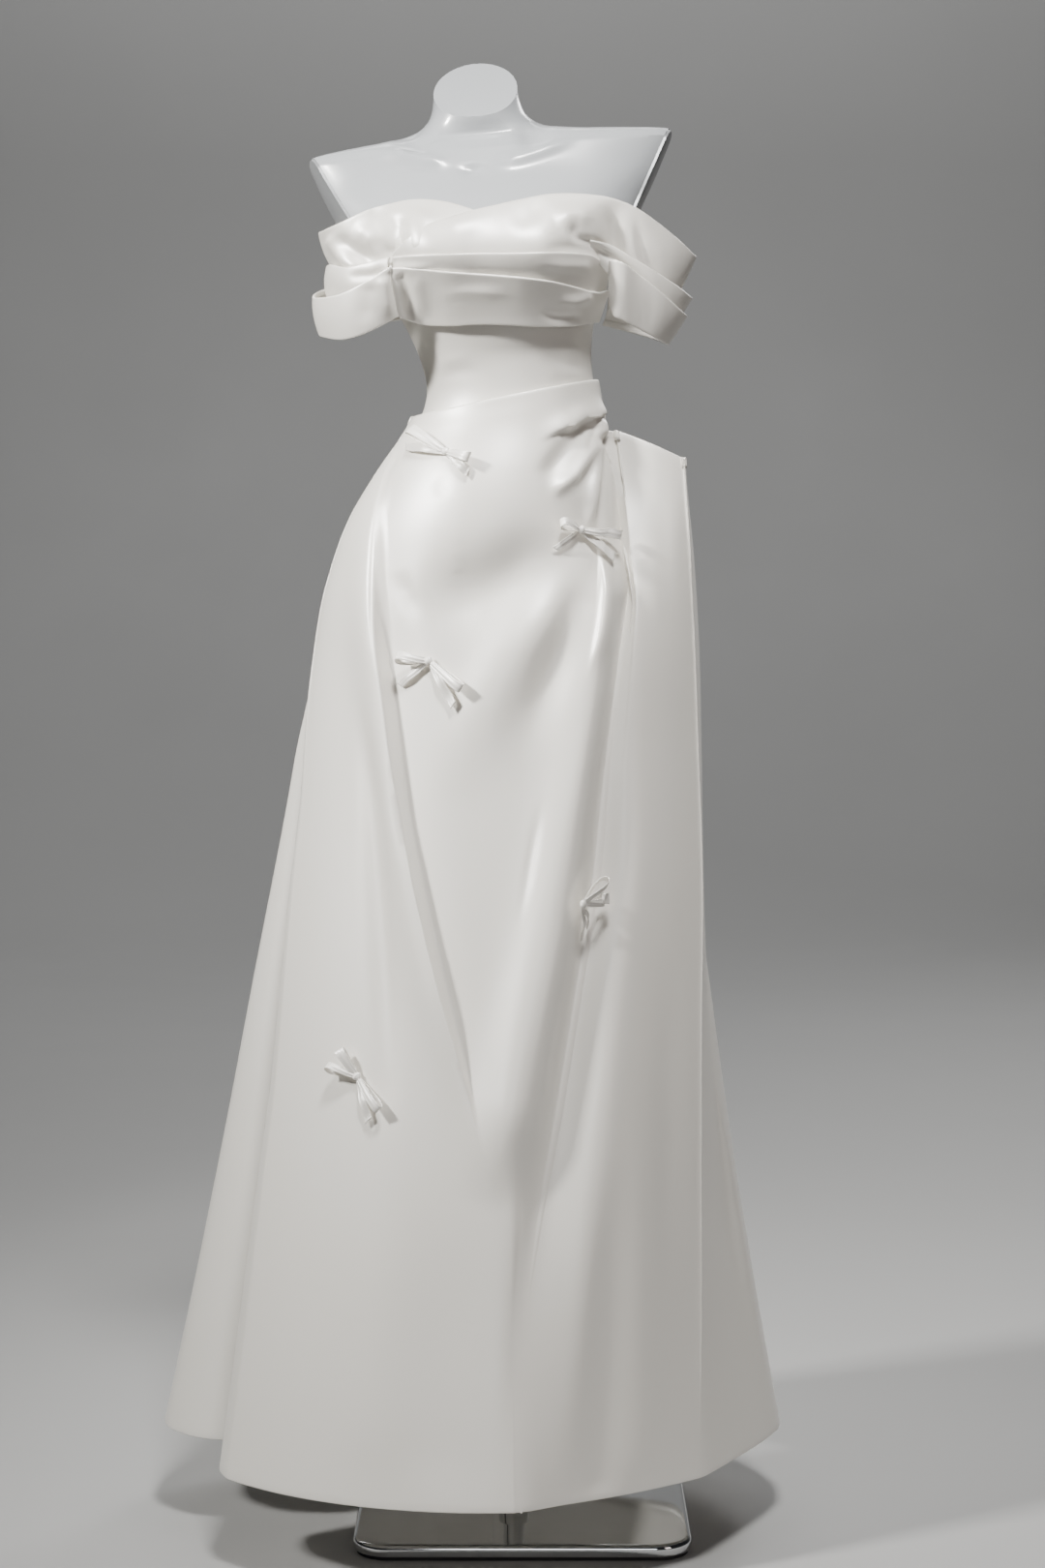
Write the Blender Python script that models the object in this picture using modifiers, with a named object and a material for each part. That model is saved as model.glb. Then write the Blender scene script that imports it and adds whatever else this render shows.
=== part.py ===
"""Off-shoulder satin wedding dress on a limbless dress form with a pole and a square base.

Metres, +Z up, the front of the dress faces -Y and +X is the viewer's right.
The origin is the middle of the base's underside.
"""

import math
from collections import namedtuple

import bmesh
import bpy
import numpy as np
from mathutils import Matrix, Vector

# Driving dimensions
GAP = 0.0003
FORM_CLEARANCE = 0.0010
CUP_CLEARANCE = 0.0022
BODICE_WALL = 0.0012
COLLAR_WALL = 0.0012
SKIRT_WALL = 0.0014
HEM_HEIGHT = 0.105
WAIST_HEIGHT = 1.300
WAIST_RISE = 0.021

BASE_WIDTH = 0.384
BASE_DEPTH = 0.330
BASE_CORNER = 0.042
BASE_THICKNESS = 0.0145
BASE_ROUNDING = 0.0065
CORNER_SEGMENTS = 6
ROUNDING_SEGMENTS = 3
PAD_THICKNESS = 0.004
PAD_INSET = 0.004
POLE_RADIUS = 0.0125
POLE_X = -0.010
FITTING_RADIUS = 0.022
FITTING_HEIGHT = 0.045
FITTING_CHAMFER = 0.004
TURNED_STEPS = 20
FORM_BOTTOM = 0.925
FORM_SEGMENTS = 32
HIP_ROWS = 6
FORM_ROWS = 18
FORM_WAISTED = 1.230
CAP_THICKNESS = 0.003
CAP_SCALE = 0.97
TINY = 0.000001
MERGE = 0.00001

# The bodice: its edges, where its top rises from the arms to the middle, and where it eases
# over the bust
BODICE_BOTTOM = 1.262
BODICE_TOP_FRONT = 1.478
BODICE_TOP_BACK = 1.470
BODICE_TOP_ARM = 1.404
BODICE_FACING = (0.25, 0.85)
BODICE_EASED = (1.395, 1.430)
BODICE_ROWS = 11
SEAM_MARGIN = 0.003

RIBBON_WIDTH = 0.010
RIBBON_PINCH = 0.004
RIBBON_WALL = 0.0011
LOOP_HEIGHT = 0.0055
LOOP_SPREAD = 0.0025
RIBBON_SINK = 0.001
TAIL_ARCH = 0.002
TAIL_SLANT = 0.004
KNOT_SIZE = (0.0055, 0.0050, 0.0045)
KNOT_STEPS = (10, 6)

# Outside of the pole's socket from its top down: radius, and height above the base plate
SOCKET = [(0.0175, 0.030), (0.0185, 0.010), (0.0290, 0.005), (0.0320, 0.003), (0.0320, 0.000)]

# Horizontal sections of the form, from its lower end to the shoulders
FormSection = namedtuple("FormSection", "height centre_x centre_y half_width front back roll")
FORM = [
    FormSection(0.925, -0.020, 0.010, 0.120, 0.070, 0.085, 0.000),
    FormSection(0.950, -0.022, 0.010, 0.136, 0.084, 0.100, 0.000),
    FormSection(1.000, -0.028, 0.008, 0.146, 0.094, 0.112, 0.000),
    FormSection(1.080, -0.033, 0.004, 0.146, 0.100, 0.118, 0.000),
    FormSection(1.160, -0.032, -0.002, 0.134, 0.101, 0.108, 0.000),
    FormSection(1.230, -0.024, -0.007, 0.114, 0.090, 0.088, 0.000),
    FormSection(1.310, -0.0135, -0.009, 0.093, 0.076, 0.072, 0.000),
    FormSection(1.350, -0.020, -0.010, 0.096, 0.080, 0.074, 0.000),
    FormSection(1.380, -0.026, -0.011, 0.104, 0.087, 0.079, 0.000),
    FormSection(1.420, -0.033, -0.012, 0.121, 0.102, 0.087, 0.015),
    FormSection(1.455, -0.037, -0.012, 0.140, 0.114, 0.092, 0.030),
    FormSection(1.490, -0.040, -0.008, 0.166, 0.106, 0.094, 0.045),
    FormSection(1.520, -0.040, 0.000, 0.184, 0.090, 0.090, 0.060),
    FormSection(1.550, -0.037, 0.008, 0.203, 0.073, 0.079, 0.075),
    FormSection(1.580, -0.035, 0.012, 0.216, 0.058, 0.068, 0.084),
]
# Rings over the shoulders and up the neck
NECK = [
    FormSection(1.580, -0.035, 0.012, 0.216, 0.058, 0.068, 0.084),
    FormSection(1.589, -0.036, 0.013, 0.206, 0.050, 0.060, 0.083),
    FormSection(1.594, -0.039, 0.014, 0.170, 0.045, 0.055, 0.080),
    FormSection(1.598, -0.044, 0.015, 0.120, 0.044, 0.054, 0.075),
    FormSection(1.604, -0.048, 0.016, 0.080, 0.046, 0.055, 0.070),
    FormSection(1.614, -0.050, 0.016, 0.060, 0.048, 0.055, 0.060),
    FormSection(1.630, -0.052, 0.015, 0.0505, 0.048, 0.051, 0.050),
    FormSection(1.660, -0.054, 0.013, 0.0470, 0.047, 0.048, 0.050),
    FormSection(1.710, -0.056, 0.010, 0.0460, 0.046, 0.047, 0.050),
]
NECK_STEPS = [2, 2, 2, 1, 1, 1, 2, 2]
# Bust cups of the form: where they stand out, and how far
CUP_OFFSET = 0.064
CUP_HEIGHT = 1.455
CUP_RADIUS = 0.042
CUP_RISE = 0.011

# Planes that cut the neck and the two shoulders, each a point and an outward direction
ARMPIT_HEIGHT = 1.405
NECK_CUT = ((-0.055, 0.013, 1.650), (-0.080, -0.62, 0.78))
LEFT_ARM_CUT = ((-0.233, 0.0, 1.564), (-0.909, -0.20, -0.417))
RIGHT_ARM_CUT = ((0.162, 0.0, 1.597), (0.914, -0.10, -0.372))

# Rings of the skirt: how far it reaches each way at each height
SkirtSection = namedtuple("SkirtSection", "height left right front back centre_x centre_y")
SKIRT = [
    SkirtSection(0.105, -0.425, 0.300, -0.313, 0.305, -0.040, 0.050),
    SkirtSection(0.280, -0.386, 0.268, -0.277, 0.276, -0.038, 0.040),
    SkirtSection(0.460, -0.348, 0.238, -0.242, 0.246, -0.035, 0.031),
    SkirtSection(0.640, -0.312, 0.212, -0.206, 0.216, -0.032, 0.022),
    SkirtSection(0.820, -0.275, 0.184, -0.172, 0.186, -0.029, 0.012),
    SkirtSection(1.000, -0.241, 0.146, -0.144, 0.157, -0.027, 0.003),
    SkirtSection(1.094, -0.221, 0.127, -0.133, 0.143, -0.027, -0.001),
    SkirtSection(1.160, -0.197, 0.116, -0.123, 0.126, -0.026, -0.004),
    SkirtSection(1.220, -0.162, 0.106, -0.110, 0.103, -0.021, -0.007),
    SkirtSection(1.270, -0.129, 0.095, -0.096, 0.083, -0.016, -0.009),
    SkirtSection(1.325, -0.110, 0.085, -0.088, 0.073, -0.0135, -0.009),
]

# Where the draped front's main lines run at each height: the left corner that the side rolls
# round, the lip of the swag, the ridge of the swag and the valley beside it
DrapeLine = namedtuple("DrapeLine", "height corner_turn curl lip_x ridge_x valley_x")
DRAPE = [
    DrapeLine(0.105, -47.0, 1.00, -0.030, -0.024, -0.008),
    DrapeLine(0.268, -49.0, 0.85, -0.031, -0.025, 0.000),
    DrapeLine(0.440, -51.5, 0.70, -0.034, -0.026, 0.025),
    DrapeLine(0.548, -53.0, 0.60, -0.058, -0.020, 0.045),
    DrapeLine(0.660, -56.5, 0.48, -0.088, -0.008, 0.065),
    DrapeLine(0.768, -61.0, 0.36, -0.113, 0.024, 0.084),
    DrapeLine(0.883, -66.0, 0.24, -0.134, 0.050, 0.093),
    DrapeLine(0.989, -76.0, 0.14, -0.151, 0.070, 0.102),
    DrapeLine(1.080, -86.0, 0.08, -0.162, 0.083, 0.111),
    DrapeLine(1.150, -90.0, 0.06, -0.162, 0.087, 0.109),
    DrapeLine(1.214, -90.0, 0.05, -0.151, 0.085, 0.098),
    DrapeLine(1.325, -90.0, 0.04, -0.092, 0.078, 0.084),
]

# Folds of the draped front as lines across it. rise is outwards, and a lip drops off on its right
LIP_DROP = 0.010
LIP_HOLLOW = 0.3
Fold = namedtuple("Fold", "kind rise width start end route")
FOLDS = [
    Fold("lip", 0.0110, 0.030, 0.05, 0.12,
         [(-0.133, 1.249), (-0.160, 1.170), (-0.162, 1.087), (-0.151, 0.982), (-0.127, 0.842),
          (-0.100, 0.724), (-0.081, 0.613), (-0.053, 0.529), (-0.034, 0.450)]),
    Fold("ridge", 0.017, 0.027, 0.10, 0.20,
         [(0.088, 1.150), (0.078, 1.045), (0.057, 0.925), (0.025, 0.776), (-0.001, 0.689),
          (-0.020, 0.600), (-0.027, 0.500), (-0.029, 0.420)]),
    Fold("valley", 0.021, 0.022, 0.12, 0.45,
         [(0.109, 1.150), (0.107, 1.060), (0.100, 0.980), (0.092, 0.883), (0.084, 0.768),
          (0.061, 0.635), (0.043, 0.531), (0.021, 0.419), (0.000, 0.268), (-0.006, 0.105)]),
    Fold("valley", 0.004, 0.030, 0.30, 0.30,
         [(0.070, 1.138), (0.021, 1.079), (-0.032, 1.020), (-0.085, 0.957), (-0.107, 0.883)]),
    Fold("valley", 0.005, 0.022, 0.30, 0.30,
         [(-0.189, 1.034), (-0.167, 0.900), (-0.160, 0.790), (-0.148, 0.701), (-0.139, 0.531),
          (-0.134, 0.416)]),
    Fold("valley", 0.006, 0.010, 0.06, 0.30,
         [(0.085, 1.268), (0.064, 1.250), (0.037, 1.234), (0.021, 1.223)]),
    Fold("ridge", 0.006, 0.010, 0.06, 0.30,
         [(0.087, 1.262), (0.080, 1.240), (0.069, 1.221), (0.049, 1.201), (0.026, 1.187)]),
    Fold("ridge", 0.005, 0.008, 0.06, 0.30,
         [(0.089, 1.256), (0.086, 1.226), (0.072, 1.180), (0.066, 1.145)]),
]
BELLY = (-0.030, 1.110, 0.090, 0.006)

# The square side panel: its inner edge, the rounded ridge, the corner, its side and the back seam
PanelSection = namedtuple(
    "PanelSection",
    "height edge_x edge_y ridge_x ridge_y corner_x corner_y side_x side_y seam_turn",
)
PANEL = [
    PanelSection(0.105, 0.006, -0.280, 0.043, -0.297, 0.200, -0.190, 0.268, -0.070, 97.0),
    PanelSection(0.360, 0.028, -0.232, 0.075, -0.247, 0.200, -0.150, 0.236, -0.045, 92.0),
    PanelSection(0.600, 0.069, -0.172, 0.096, -0.191, 0.201, -0.112, 0.215, -0.045, 86.0),
    PanelSection(0.760, 0.091, -0.134, 0.108, -0.152, 0.203, -0.084, 0.207, -0.020, 96.0),
    PanelSection(0.900, 0.098, -0.106, 0.113, -0.124, 0.199, -0.064, 0.205, 0.020, 112.0),
    PanelSection(1.040, 0.110, -0.083, 0.121, -0.099, 0.194, -0.050, 0.199, 0.040, 124.0),
    PanelSection(1.138, 0.114, -0.056, 0.124, -0.066, 0.189, -0.040, 0.190, 0.045, 130.0),
    PanelSection(1.200, 0.114, -0.038, 0.118, -0.043, 0.185, -0.034, 0.182, 0.045, 134.0),
    PanelSection(1.270, 0.105, -0.024, 0.109, -0.028, 0.180, -0.030, 0.176, 0.040, 138.0),
]
PANEL_TOP_INNER = 1.262
PANEL_TOP_CORNER = 1.233
PANEL_TOP_SIDE = 1.245
PANEL_TOP_SEAM = 1.266
SEAM_LIFT = 0.0042
SEAM_LAP = 0.26
SIDE_INSET = 0.0036
PANEL_ROWS = 15
PANEL_STEPS = [1, 2, 2, 2, 1, 3, 3]
LAP_COLUMNS = 4
# The panel parts from the front between two heights, and below them starts beside the valley
PANEL_PARTS = (1.08, 1.17)
VALLEY_GAP = (0.009, 0.001)
RISING_SHARE = 0.65
RISING_OFFSET = (-0.002, -0.001)
FACE_BOW = (0.0, -0.006)
CORNER_BEFORE = 0.08
CORNER_AFTER = 0.12

# The draped front: its rows and columns, and how its right edge turns in over the hip
FRONT_ROWS = 22
FRONT_STEPS = [5, 1, 9, 6]
LIP_BEFORE = 0.010
LIP_AFTER = 0.045
LIP_MARGIN = 0.02
HIP_LEVELS = (1.10, 1.19)
HIP_TURN = 78.0
HIP_SHARE = 0.4
WAIST_FADE = 0.03

# The halves of the back: where their side seams lie and where they run in under a neighbour
BACK_ROWS = 15
BACK_COLUMNS = {"left": 14, "right": 15}
RIGHT_SEAM_TURN = 98.0
RIGHT_UNDER = 0.7
RIGHT_LEVELS = (0.80, 1.00)
LEFT_SEAM_TURN = 96.0
LEFT_SEAM_CURL = 2.0
LEFT_LEVELS = (0.90, 1.00)
LEFT_NEAR = (-116.0, -99.0)

# Where the left back runs in under the draped front at the hem, from its side seam
UNDERLAP = [(0.004, -0.018), (0.016, -0.052), (0.050, -0.086), (0.090, -0.098), (0.130, -0.098)]
# The rolled left edge of the draped front at the hem, from its corner
ROLL = [(0.012, 0.082), (-0.012, 0.074), (-0.017, 0.042), (-0.009, 0.014)]
# The tucked right edge: its angles at the hip, and lower down its offsets from the valley
TUCK_TURNS = [1.2, 1.65]
TUCK_OFFSETS = [(0.010, 0.010), (0.018, 0.028)]

# The bows: the knot's place on the draped front, how the bow is tilted, and its ribbon's lengths
Bow = namedtuple("Bow", "name x height lift tilt spread loop_left loop_right tail tail_turn")
BOWS = [
    Bow("bow_1", -0.083, 1.236, 0.0045, -28.0, -6.0, 0.046, 0.038, 0.030, -40.0),
    Bow("bow_2", 0.062, 1.151, 0.0050, -24.0, -8.0, 0.032, 0.038, 0.030, 28.0),
    Bow("bow_3", -0.102, 1.007, 0.0045, -34.0, -16.0, 0.034, 0.040, 0.038, -60.0),
    Bow("bow_4", 0.056, 0.744, 0.0110, 20.0, 30.0, 0.028, 0.026, 0.032, -82.0),
    Bow("bow_5", -0.179, 0.554, 0.0045, -52.0, -10.0, 0.040, 0.036, 0.038, -25.0),
]
SLOPE_STEP = 0.004
LOOP_STEPS = 8
TAIL_STEPS = 3

# The strips of the collar: each section's top and bottom points. A Body section lies over the
# bodice at x and height, and stands off the form by its lifts; a Free one is given in space
Body = namedtuple("Body", "side top_x top_height bottom_x bottom_height top_lift bottom_lift")
Free = namedtuple("Free", "top_x top_y top_height bottom_x bottom_y bottom_height puff")
COLLAR_MIDDLE = (-0.037, 0.0)
COLLAR_STEPS = 2
COLLAR = {
    "wrap_left": [
        Free(-0.150, 0.088, 1.505, -0.148, 0.090, 1.445, 0.004),
        Free(-0.192, 0.082, 1.500, -0.180, 0.082, 1.440, 0.006),
        Free(-0.228, 0.046, 1.490, -0.203, 0.046, 1.438, 0.006),
        Free(-0.237, -0.005, 1.482, -0.208, -0.005, 1.438, 0.004),
        Free(-0.229, -0.050, 1.479, -0.205, -0.046, 1.440, 0.000),
        Free(-0.201, -0.078, 1.491, -0.190, -0.076, 1.436, 0.002),
        Free(-0.172, -0.089, 1.503, -0.165, -0.090, 1.438, 0.004),
        Body("front", -0.146, 1.5105, -0.140, 1.445, 0.0102, 0.0072),
        Body("front", -0.120, 1.5145, -0.116, 1.439, 0.0097, 0.0067),
        Body("front", -0.090, 1.512, -0.088, 1.438, 0.0087, 0.0067),
        Body("front", -0.062, 1.504, -0.060, 1.437, 0.0077, 0.0067),
        Body("front", -0.030, 1.490, -0.030, 1.437, 0.0067, 0.0067),
        Body("front", 0.000, 1.474, 0.000, 1.437, 0.0067, 0.0067),
    ],
    "wrap_right": [
        Body("front", -0.143, 1.454, -0.143, 1.444, 0.0113, 0.0103),
        Body("front", -0.124, 1.470, -0.122, 1.440, 0.0118, 0.0103),
        Body("front", -0.103, 1.484, -0.104, 1.438, 0.0118, 0.0103),
        Body("front", -0.076, 1.493, -0.078, 1.438, 0.0116, 0.0103),
        Body("front", -0.050, 1.501, -0.052, 1.438, 0.0116, 0.0103),
        Body("front", -0.026, 1.507, -0.028, 1.438, 0.0116, 0.0103),
        Body("front", 0.000, 1.5135, 0.000, 1.438, 0.0118, 0.0103),
        Body("front", 0.026, 1.519, 0.024, 1.438, 0.0123, 0.0103),
        Body("front", 0.052, 1.521, 0.048, 1.440, 0.0128, 0.0103),
        Body("front", 0.078, 1.520, 0.072, 1.442, 0.0143, 0.0108),
        Free(0.102, -0.083, 1.516, 0.092, -0.074, 1.446, 0.003),
        Free(0.126, -0.078, 1.507, 0.112, -0.078, 1.444, 0.005),
        Free(0.150, -0.068, 1.492, 0.135, -0.072, 1.434, 0.004),
        Free(0.174, -0.052, 1.475, 0.158, -0.058, 1.424, 0.003),
        Free(0.193, -0.022, 1.461, 0.174, -0.030, 1.420, 0.001),
        Free(0.194, 0.010, 1.464, 0.176, 0.008, 1.424, 0.001),
        Free(0.172, 0.056, 1.482, 0.156, 0.052, 1.432, 0.004),
        Free(0.136, 0.082, 1.500, 0.126, 0.082, 1.442, 0.004),
        Free(0.100, 0.094, 1.508, 0.094, 0.094, 1.446, 0.003),
    ],
    "left_sleeve_middle": [
        Free(-0.150, 0.095, 1.456, -0.148, 0.096, 1.425, 0.002),
        Free(-0.184, 0.088, 1.452, -0.182, 0.087, 1.420, 0.003),
        Free(-0.214, 0.050, 1.448, -0.212, 0.049, 1.412, 0.004),
        Free(-0.221, -0.006, 1.446, -0.218, -0.006, 1.408, 0.004),
        Free(-0.216, -0.050, 1.447, -0.211, -0.048, 1.408, 0.003),
        Free(-0.195, -0.083, 1.441, -0.190, -0.081, 1.410, 0.003),
        Free(-0.168, -0.097, 1.446, -0.165, -0.096, 1.420, 0.003),
        Free(-0.147, -0.104, 1.450, -0.147, -0.103, 1.430, 0.002),
    ],
    "left_sleeve_lower": [
        Free(-0.148, 0.103, 1.436, -0.138, 0.098, 1.390, 0.003),
        Free(-0.190, 0.096, 1.426, -0.184, 0.090, 1.378, 0.004),
        Free(-0.226, 0.056, 1.418, -0.220, 0.050, 1.370, 0.004),
        Free(-0.236, -0.006, 1.413, -0.229, -0.008, 1.370, 0.003),
        Free(-0.231, -0.050, 1.410, -0.224, -0.046, 1.369, 0.002),
        Free(-0.204, -0.086, 1.411, -0.200, -0.078, 1.364, 0.002),
        Free(-0.174, -0.103, 1.423, -0.172, -0.092, 1.371, 0.003),
        Free(-0.146, -0.113, 1.439, -0.137, -0.092, 1.389, 0.003),
    ],
    "bust_pleat": [
        Body("front", -0.143, 1.450, -0.142, 1.434, 0.0140, 0.0135),
        Body("front", -0.115, 1.450, -0.114, 1.428, 0.0145, 0.0132),
        Body("front", -0.080, 1.450, -0.080, 1.424, 0.0145, 0.0130),
        Body("front", -0.045, 1.451, -0.045, 1.421, 0.0145, 0.0130),
        Body("front", -0.010, 1.451, -0.010, 1.418, 0.0145, 0.0130),
        Body("front", 0.022, 1.452, 0.022, 1.415, 0.0145, 0.0130),
        Body("front", 0.050, 1.453, 0.048, 1.411, 0.0145, 0.0130),
        Body("front", 0.074, 1.453, 0.070, 1.408, 0.0150, 0.0130),
    ],
    "bust_band": [
        Body("front", -0.141, 1.440, -0.131, 1.389, 0.0177, 0.0142),
        Body("front", -0.115, 1.4355, -0.110, 1.380, 0.0177, 0.0142),
        Body("front", -0.083, 1.4315, -0.080, 1.3775, 0.0177, 0.0137),
        Body("front", -0.055, 1.4295, -0.052, 1.3785, 0.0177, 0.0132),
        Body("front", -0.025, 1.4275, -0.025, 1.378, 0.0177, 0.0132),
        Body("front", 0.005, 1.425, 0.004, 1.3765, 0.0177, 0.0132),
        Body("front", 0.034, 1.422, 0.030, 1.3765, 0.0177, 0.0132),
        Body("front", 0.060, 1.4175, 0.052, 1.378, 0.0177, 0.0127),
        Body("front", 0.076, 1.415, 0.068, 1.381, 0.0172, 0.0122),
    ],
    "right_sleeve_middle": [
        Body("front", 0.060, 1.482, 0.062, 1.462, 0.0175, 0.0180),
        Body("front", 0.076, 1.473, 0.076, 1.448, 0.0190, 0.0200),
        Free(0.099, -0.091, 1.464, 0.097, -0.087, 1.434, 0.002),
        Free(0.121, -0.088, 1.452, 0.117, -0.084, 1.422, 0.002),
        Free(0.149, -0.078, 1.436, 0.142, -0.076, 1.408, 0.002),
        Free(0.172, -0.060, 1.423, 0.163, -0.060, 1.398, 0.001),
        Free(0.188, -0.030, 1.414, 0.176, -0.032, 1.393, 0.000),
        Free(0.190, 0.010, 1.416, 0.178, 0.008, 1.396, 0.000),
        Free(0.168, 0.058, 1.428, 0.160, 0.056, 1.404, 0.002),
        Free(0.134, 0.088, 1.440, 0.130, 0.088, 1.416, 0.002),
        Free(0.100, 0.101, 1.450, 0.098, 0.101, 1.426, 0.002),
    ],
    "right_sleeve_lower": [
        Free(0.088, -0.106, 1.452, 0.084, -0.078, 1.392, 0.002),
        Free(0.112, -0.101, 1.444, 0.105, -0.085, 1.389, 0.003),
        Free(0.135, -0.088, 1.428, 0.127, -0.080, 1.377, 0.003),
        Free(0.160, -0.070, 1.409, 0.147, -0.068, 1.367, 0.002),
        Free(0.182, -0.034, 1.394, 0.162, -0.036, 1.362, 0.000),
        Free(0.184, 0.010, 1.396, 0.165, 0.006, 1.364, 0.000),
        Free(0.164, 0.062, 1.410, 0.150, 0.058, 1.374, 0.002),
        Free(0.132, 0.094, 1.424, 0.124, 0.088, 1.384, 0.003),
        Free(0.100, 0.106, 1.434, 0.094, 0.098, 1.392, 0.003),
    ],
    "collar_back_upper": [
        Body("back", 0.098, 1.507, 0.090, 1.442, 0.0095, 0.0085),
        Body("back", 0.070, 1.503, 0.066, 1.438, 0.0100, 0.0080),
        Body("back", 0.030, 1.500, 0.028, 1.436, 0.0100, 0.0080),
        Body("back", -0.015, 1.500, -0.015, 1.436, 0.0100, 0.0080),
        Body("back", -0.060, 1.501, -0.060, 1.436, 0.0100, 0.0080),
        Body("back", -0.105, 1.503, -0.102, 1.438, 0.0100, 0.0080),
        Body("back", -0.145, 1.505, -0.140, 1.442, 0.0095, 0.0080),
    ],
    "collar_back_middle": [
        Body("back", 0.094, 1.449, 0.084, 1.424, 0.0160, 0.0145),
        Body("back", 0.066, 1.446, 0.062, 1.420, 0.0160, 0.0140),
        Body("back", 0.028, 1.445, 0.028, 1.416, 0.0155, 0.0130),
        Body("back", -0.015, 1.445, -0.015, 1.414, 0.0155, 0.0130),
        Body("back", -0.060, 1.446, -0.060, 1.416, 0.0155, 0.0130),
        Body("back", -0.104, 1.450, -0.102, 1.420, 0.0160, 0.0140),
        Body("back", -0.144, 1.456, -0.140, 1.426, 0.0165, 0.0150),
    ],
    "collar_back_lower": [
        Body("back", 0.088, 1.432, 0.074, 1.392, 0.0200, 0.0180),
        Body("back", 0.062, 1.428, 0.054, 1.386, 0.0195, 0.0160),
        Body("back", 0.026, 1.424, 0.022, 1.382, 0.0185, 0.0150),
        Body("back", -0.015, 1.422, -0.015, 1.380, 0.0185, 0.0150),
        Body("back", -0.060, 1.424, -0.058, 1.382, 0.0185, 0.0150),
        Body("back", -0.102, 1.429, -0.096, 1.386, 0.0195, 0.0160),
        Body("back", -0.140, 1.436, -0.128, 1.391, 0.0205, 0.0180),
    ],
}


def along(rows, at):
    """Every column of a table at the keys `at`, on smooth curves through its rows."""
    table = np.array(rows, float)
    keys = table[:, 0]
    slopes = np.gradient(table, keys, axis=0)
    at = np.clip(np.asarray(at, float), keys[0], keys[-1])
    low = np.clip(np.searchsorted(keys, at, side="right") - 1, 0, len(keys) - 2)
    span = (keys[low + 1] - keys[low])[..., None]
    t = (at - keys[low])[..., None] / span
    values = (
        (1 + 2 * t) * (1 - t) ** 2 * table[low]
        + t * (1 - t) ** 2 * span * slopes[low]
        + t * t * (3 - 2 * t) * table[low + 1]
        + t * t * (t - 1) * span * slopes[low + 1]
    )
    return type(rows[0])(*np.moveaxis(values, -1, 0))


def smooth_step(low, high, at):
    t = np.clip((np.asarray(at, float) - low) / (high - low), 0, 1)
    return t * t * (3 - 2 * t)


def spline(points, counts):
    """Catmull-Rom curve through points [n, ...], with counts[i] steps in span i."""
    points = np.asarray(points, float)
    ends = np.concatenate([[2 * points[0] - points[1]], points, [2 * points[-1] - points[-2]]])
    out = []
    for i, count in enumerate(counts):
        before, start, stop, after = ends[i : i + 4]
        for step in range(count):
            t = step / count
            out.append(
                0.5
                * (
                    2 * start
                    + (stop - before) * t
                    + (2 * before - 5 * start + 4 * stop - after) * t * t
                    + (3 * start - before - 3 * stop + after) * t**3
                )
            )
    out.append(points[-1])
    return np.array(out)


# Scene and objects


def clear_scene():
    for obj in list(bpy.data.objects):
        bpy.data.objects.remove(obj, do_unlink=True)


def new_collection(name, hidden=False):
    made = bpy.data.collections.new(name)
    made.hide_render = hidden
    bpy.context.scene.collection.children.link(made)
    return made


def new_material(name, colour, roughness, metallic=0.0, coat=0.0):
    material = bpy.data.materials.new(name)
    material.use_nodes = True
    shader = material.node_tree.nodes["Principled BSDF"]
    shader.inputs["Base Color"].default_value = (*colour, 1)
    shader.inputs["Roughness"].default_value = roughness
    shader.inputs["Metallic"].default_value = metallic
    shader.inputs["Coat Weight"].default_value = coat
    material.diffuse_color = (*colour, 1)
    return material


def add_object(name, mesh, material, collection, smooth_angle=40):
    """An object made from a bmesh, which is freed."""
    data = bpy.data.meshes.new(name)
    mesh.to_mesh(data)
    mesh.free()
    data.materials.append(material)
    data.shade_smooth()
    data.set_sharp_from_angle(angle=math.radians(smooth_angle))
    obj = bpy.data.objects.new(name, data)
    collection.objects.link(obj)
    return obj


def add_wall(obj, thickness):
    wall = obj.modifiers.new("wall", "SOLIDIFY")
    wall.thickness = thickness
    wall.offset = 1
    return obj


def grid_mesh(points):
    """A grid with its corners at points [column, row]; columns run anticlockwise seen from above,
    and rows run upwards, so that its faces point away from the body."""
    columns, rows = points.shape[:2]
    mesh = bmesh.new()
    bmesh.ops.create_grid(mesh, x_segments=columns - 1, y_segments=rows - 1, size=1)
    for vert in mesh.verts:
        column = round((vert.co.x + 1) / 2 * (columns - 1))
        row = round((vert.co.y + 1) / 2 * (rows - 1))
        vert.co = points[column, row]
    return mesh


def add_cloth(name, points, wall, material, collection):
    return add_wall(add_object(name, grid_mesh(points), material, collection, 60), wall)


# The dress form


def form_plan(section, turn, lift=0.0):
    """Point of the form's section at an angle from the front, moved outwards by lift."""
    side = section.half_width + lift
    deep = np.where(np.cos(turn) > 0, section.front, section.back) + lift
    x = section.centre_x + side * np.sin(turn)
    y = section.centre_y - deep * np.cos(turn)
    height = section.height + section.roll * (x - section.centre_x)
    return x, y, height


def cup_rise(x, height, centre_x, facing):
    """How far the two cups stand forward of the plain section."""
    rise = 0
    for side in (-1, 1):
        away = ((x - centre_x - side * CUP_OFFSET) ** 2 + (height - CUP_HEIGHT) ** 2) / CUP_RADIUS**2
        rise = rise + CUP_RISE * np.exp(-away)
    return rise * smooth_step(0.0, 0.5, facing)


def form_surface(turn, height, lift=0.0):
    """Points round the form at a height below the shoulders."""
    turn, height = np.broadcast_arrays(np.asarray(turn, float), np.asarray(height, float))
    section = along(FORM, height)
    x, y, z = form_plan(section._replace(height=height), turn, lift)
    y = y - cup_rise(x, z, section.centre_x, np.cos(turn))
    return np.stack([x, y, z], -1)


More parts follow.
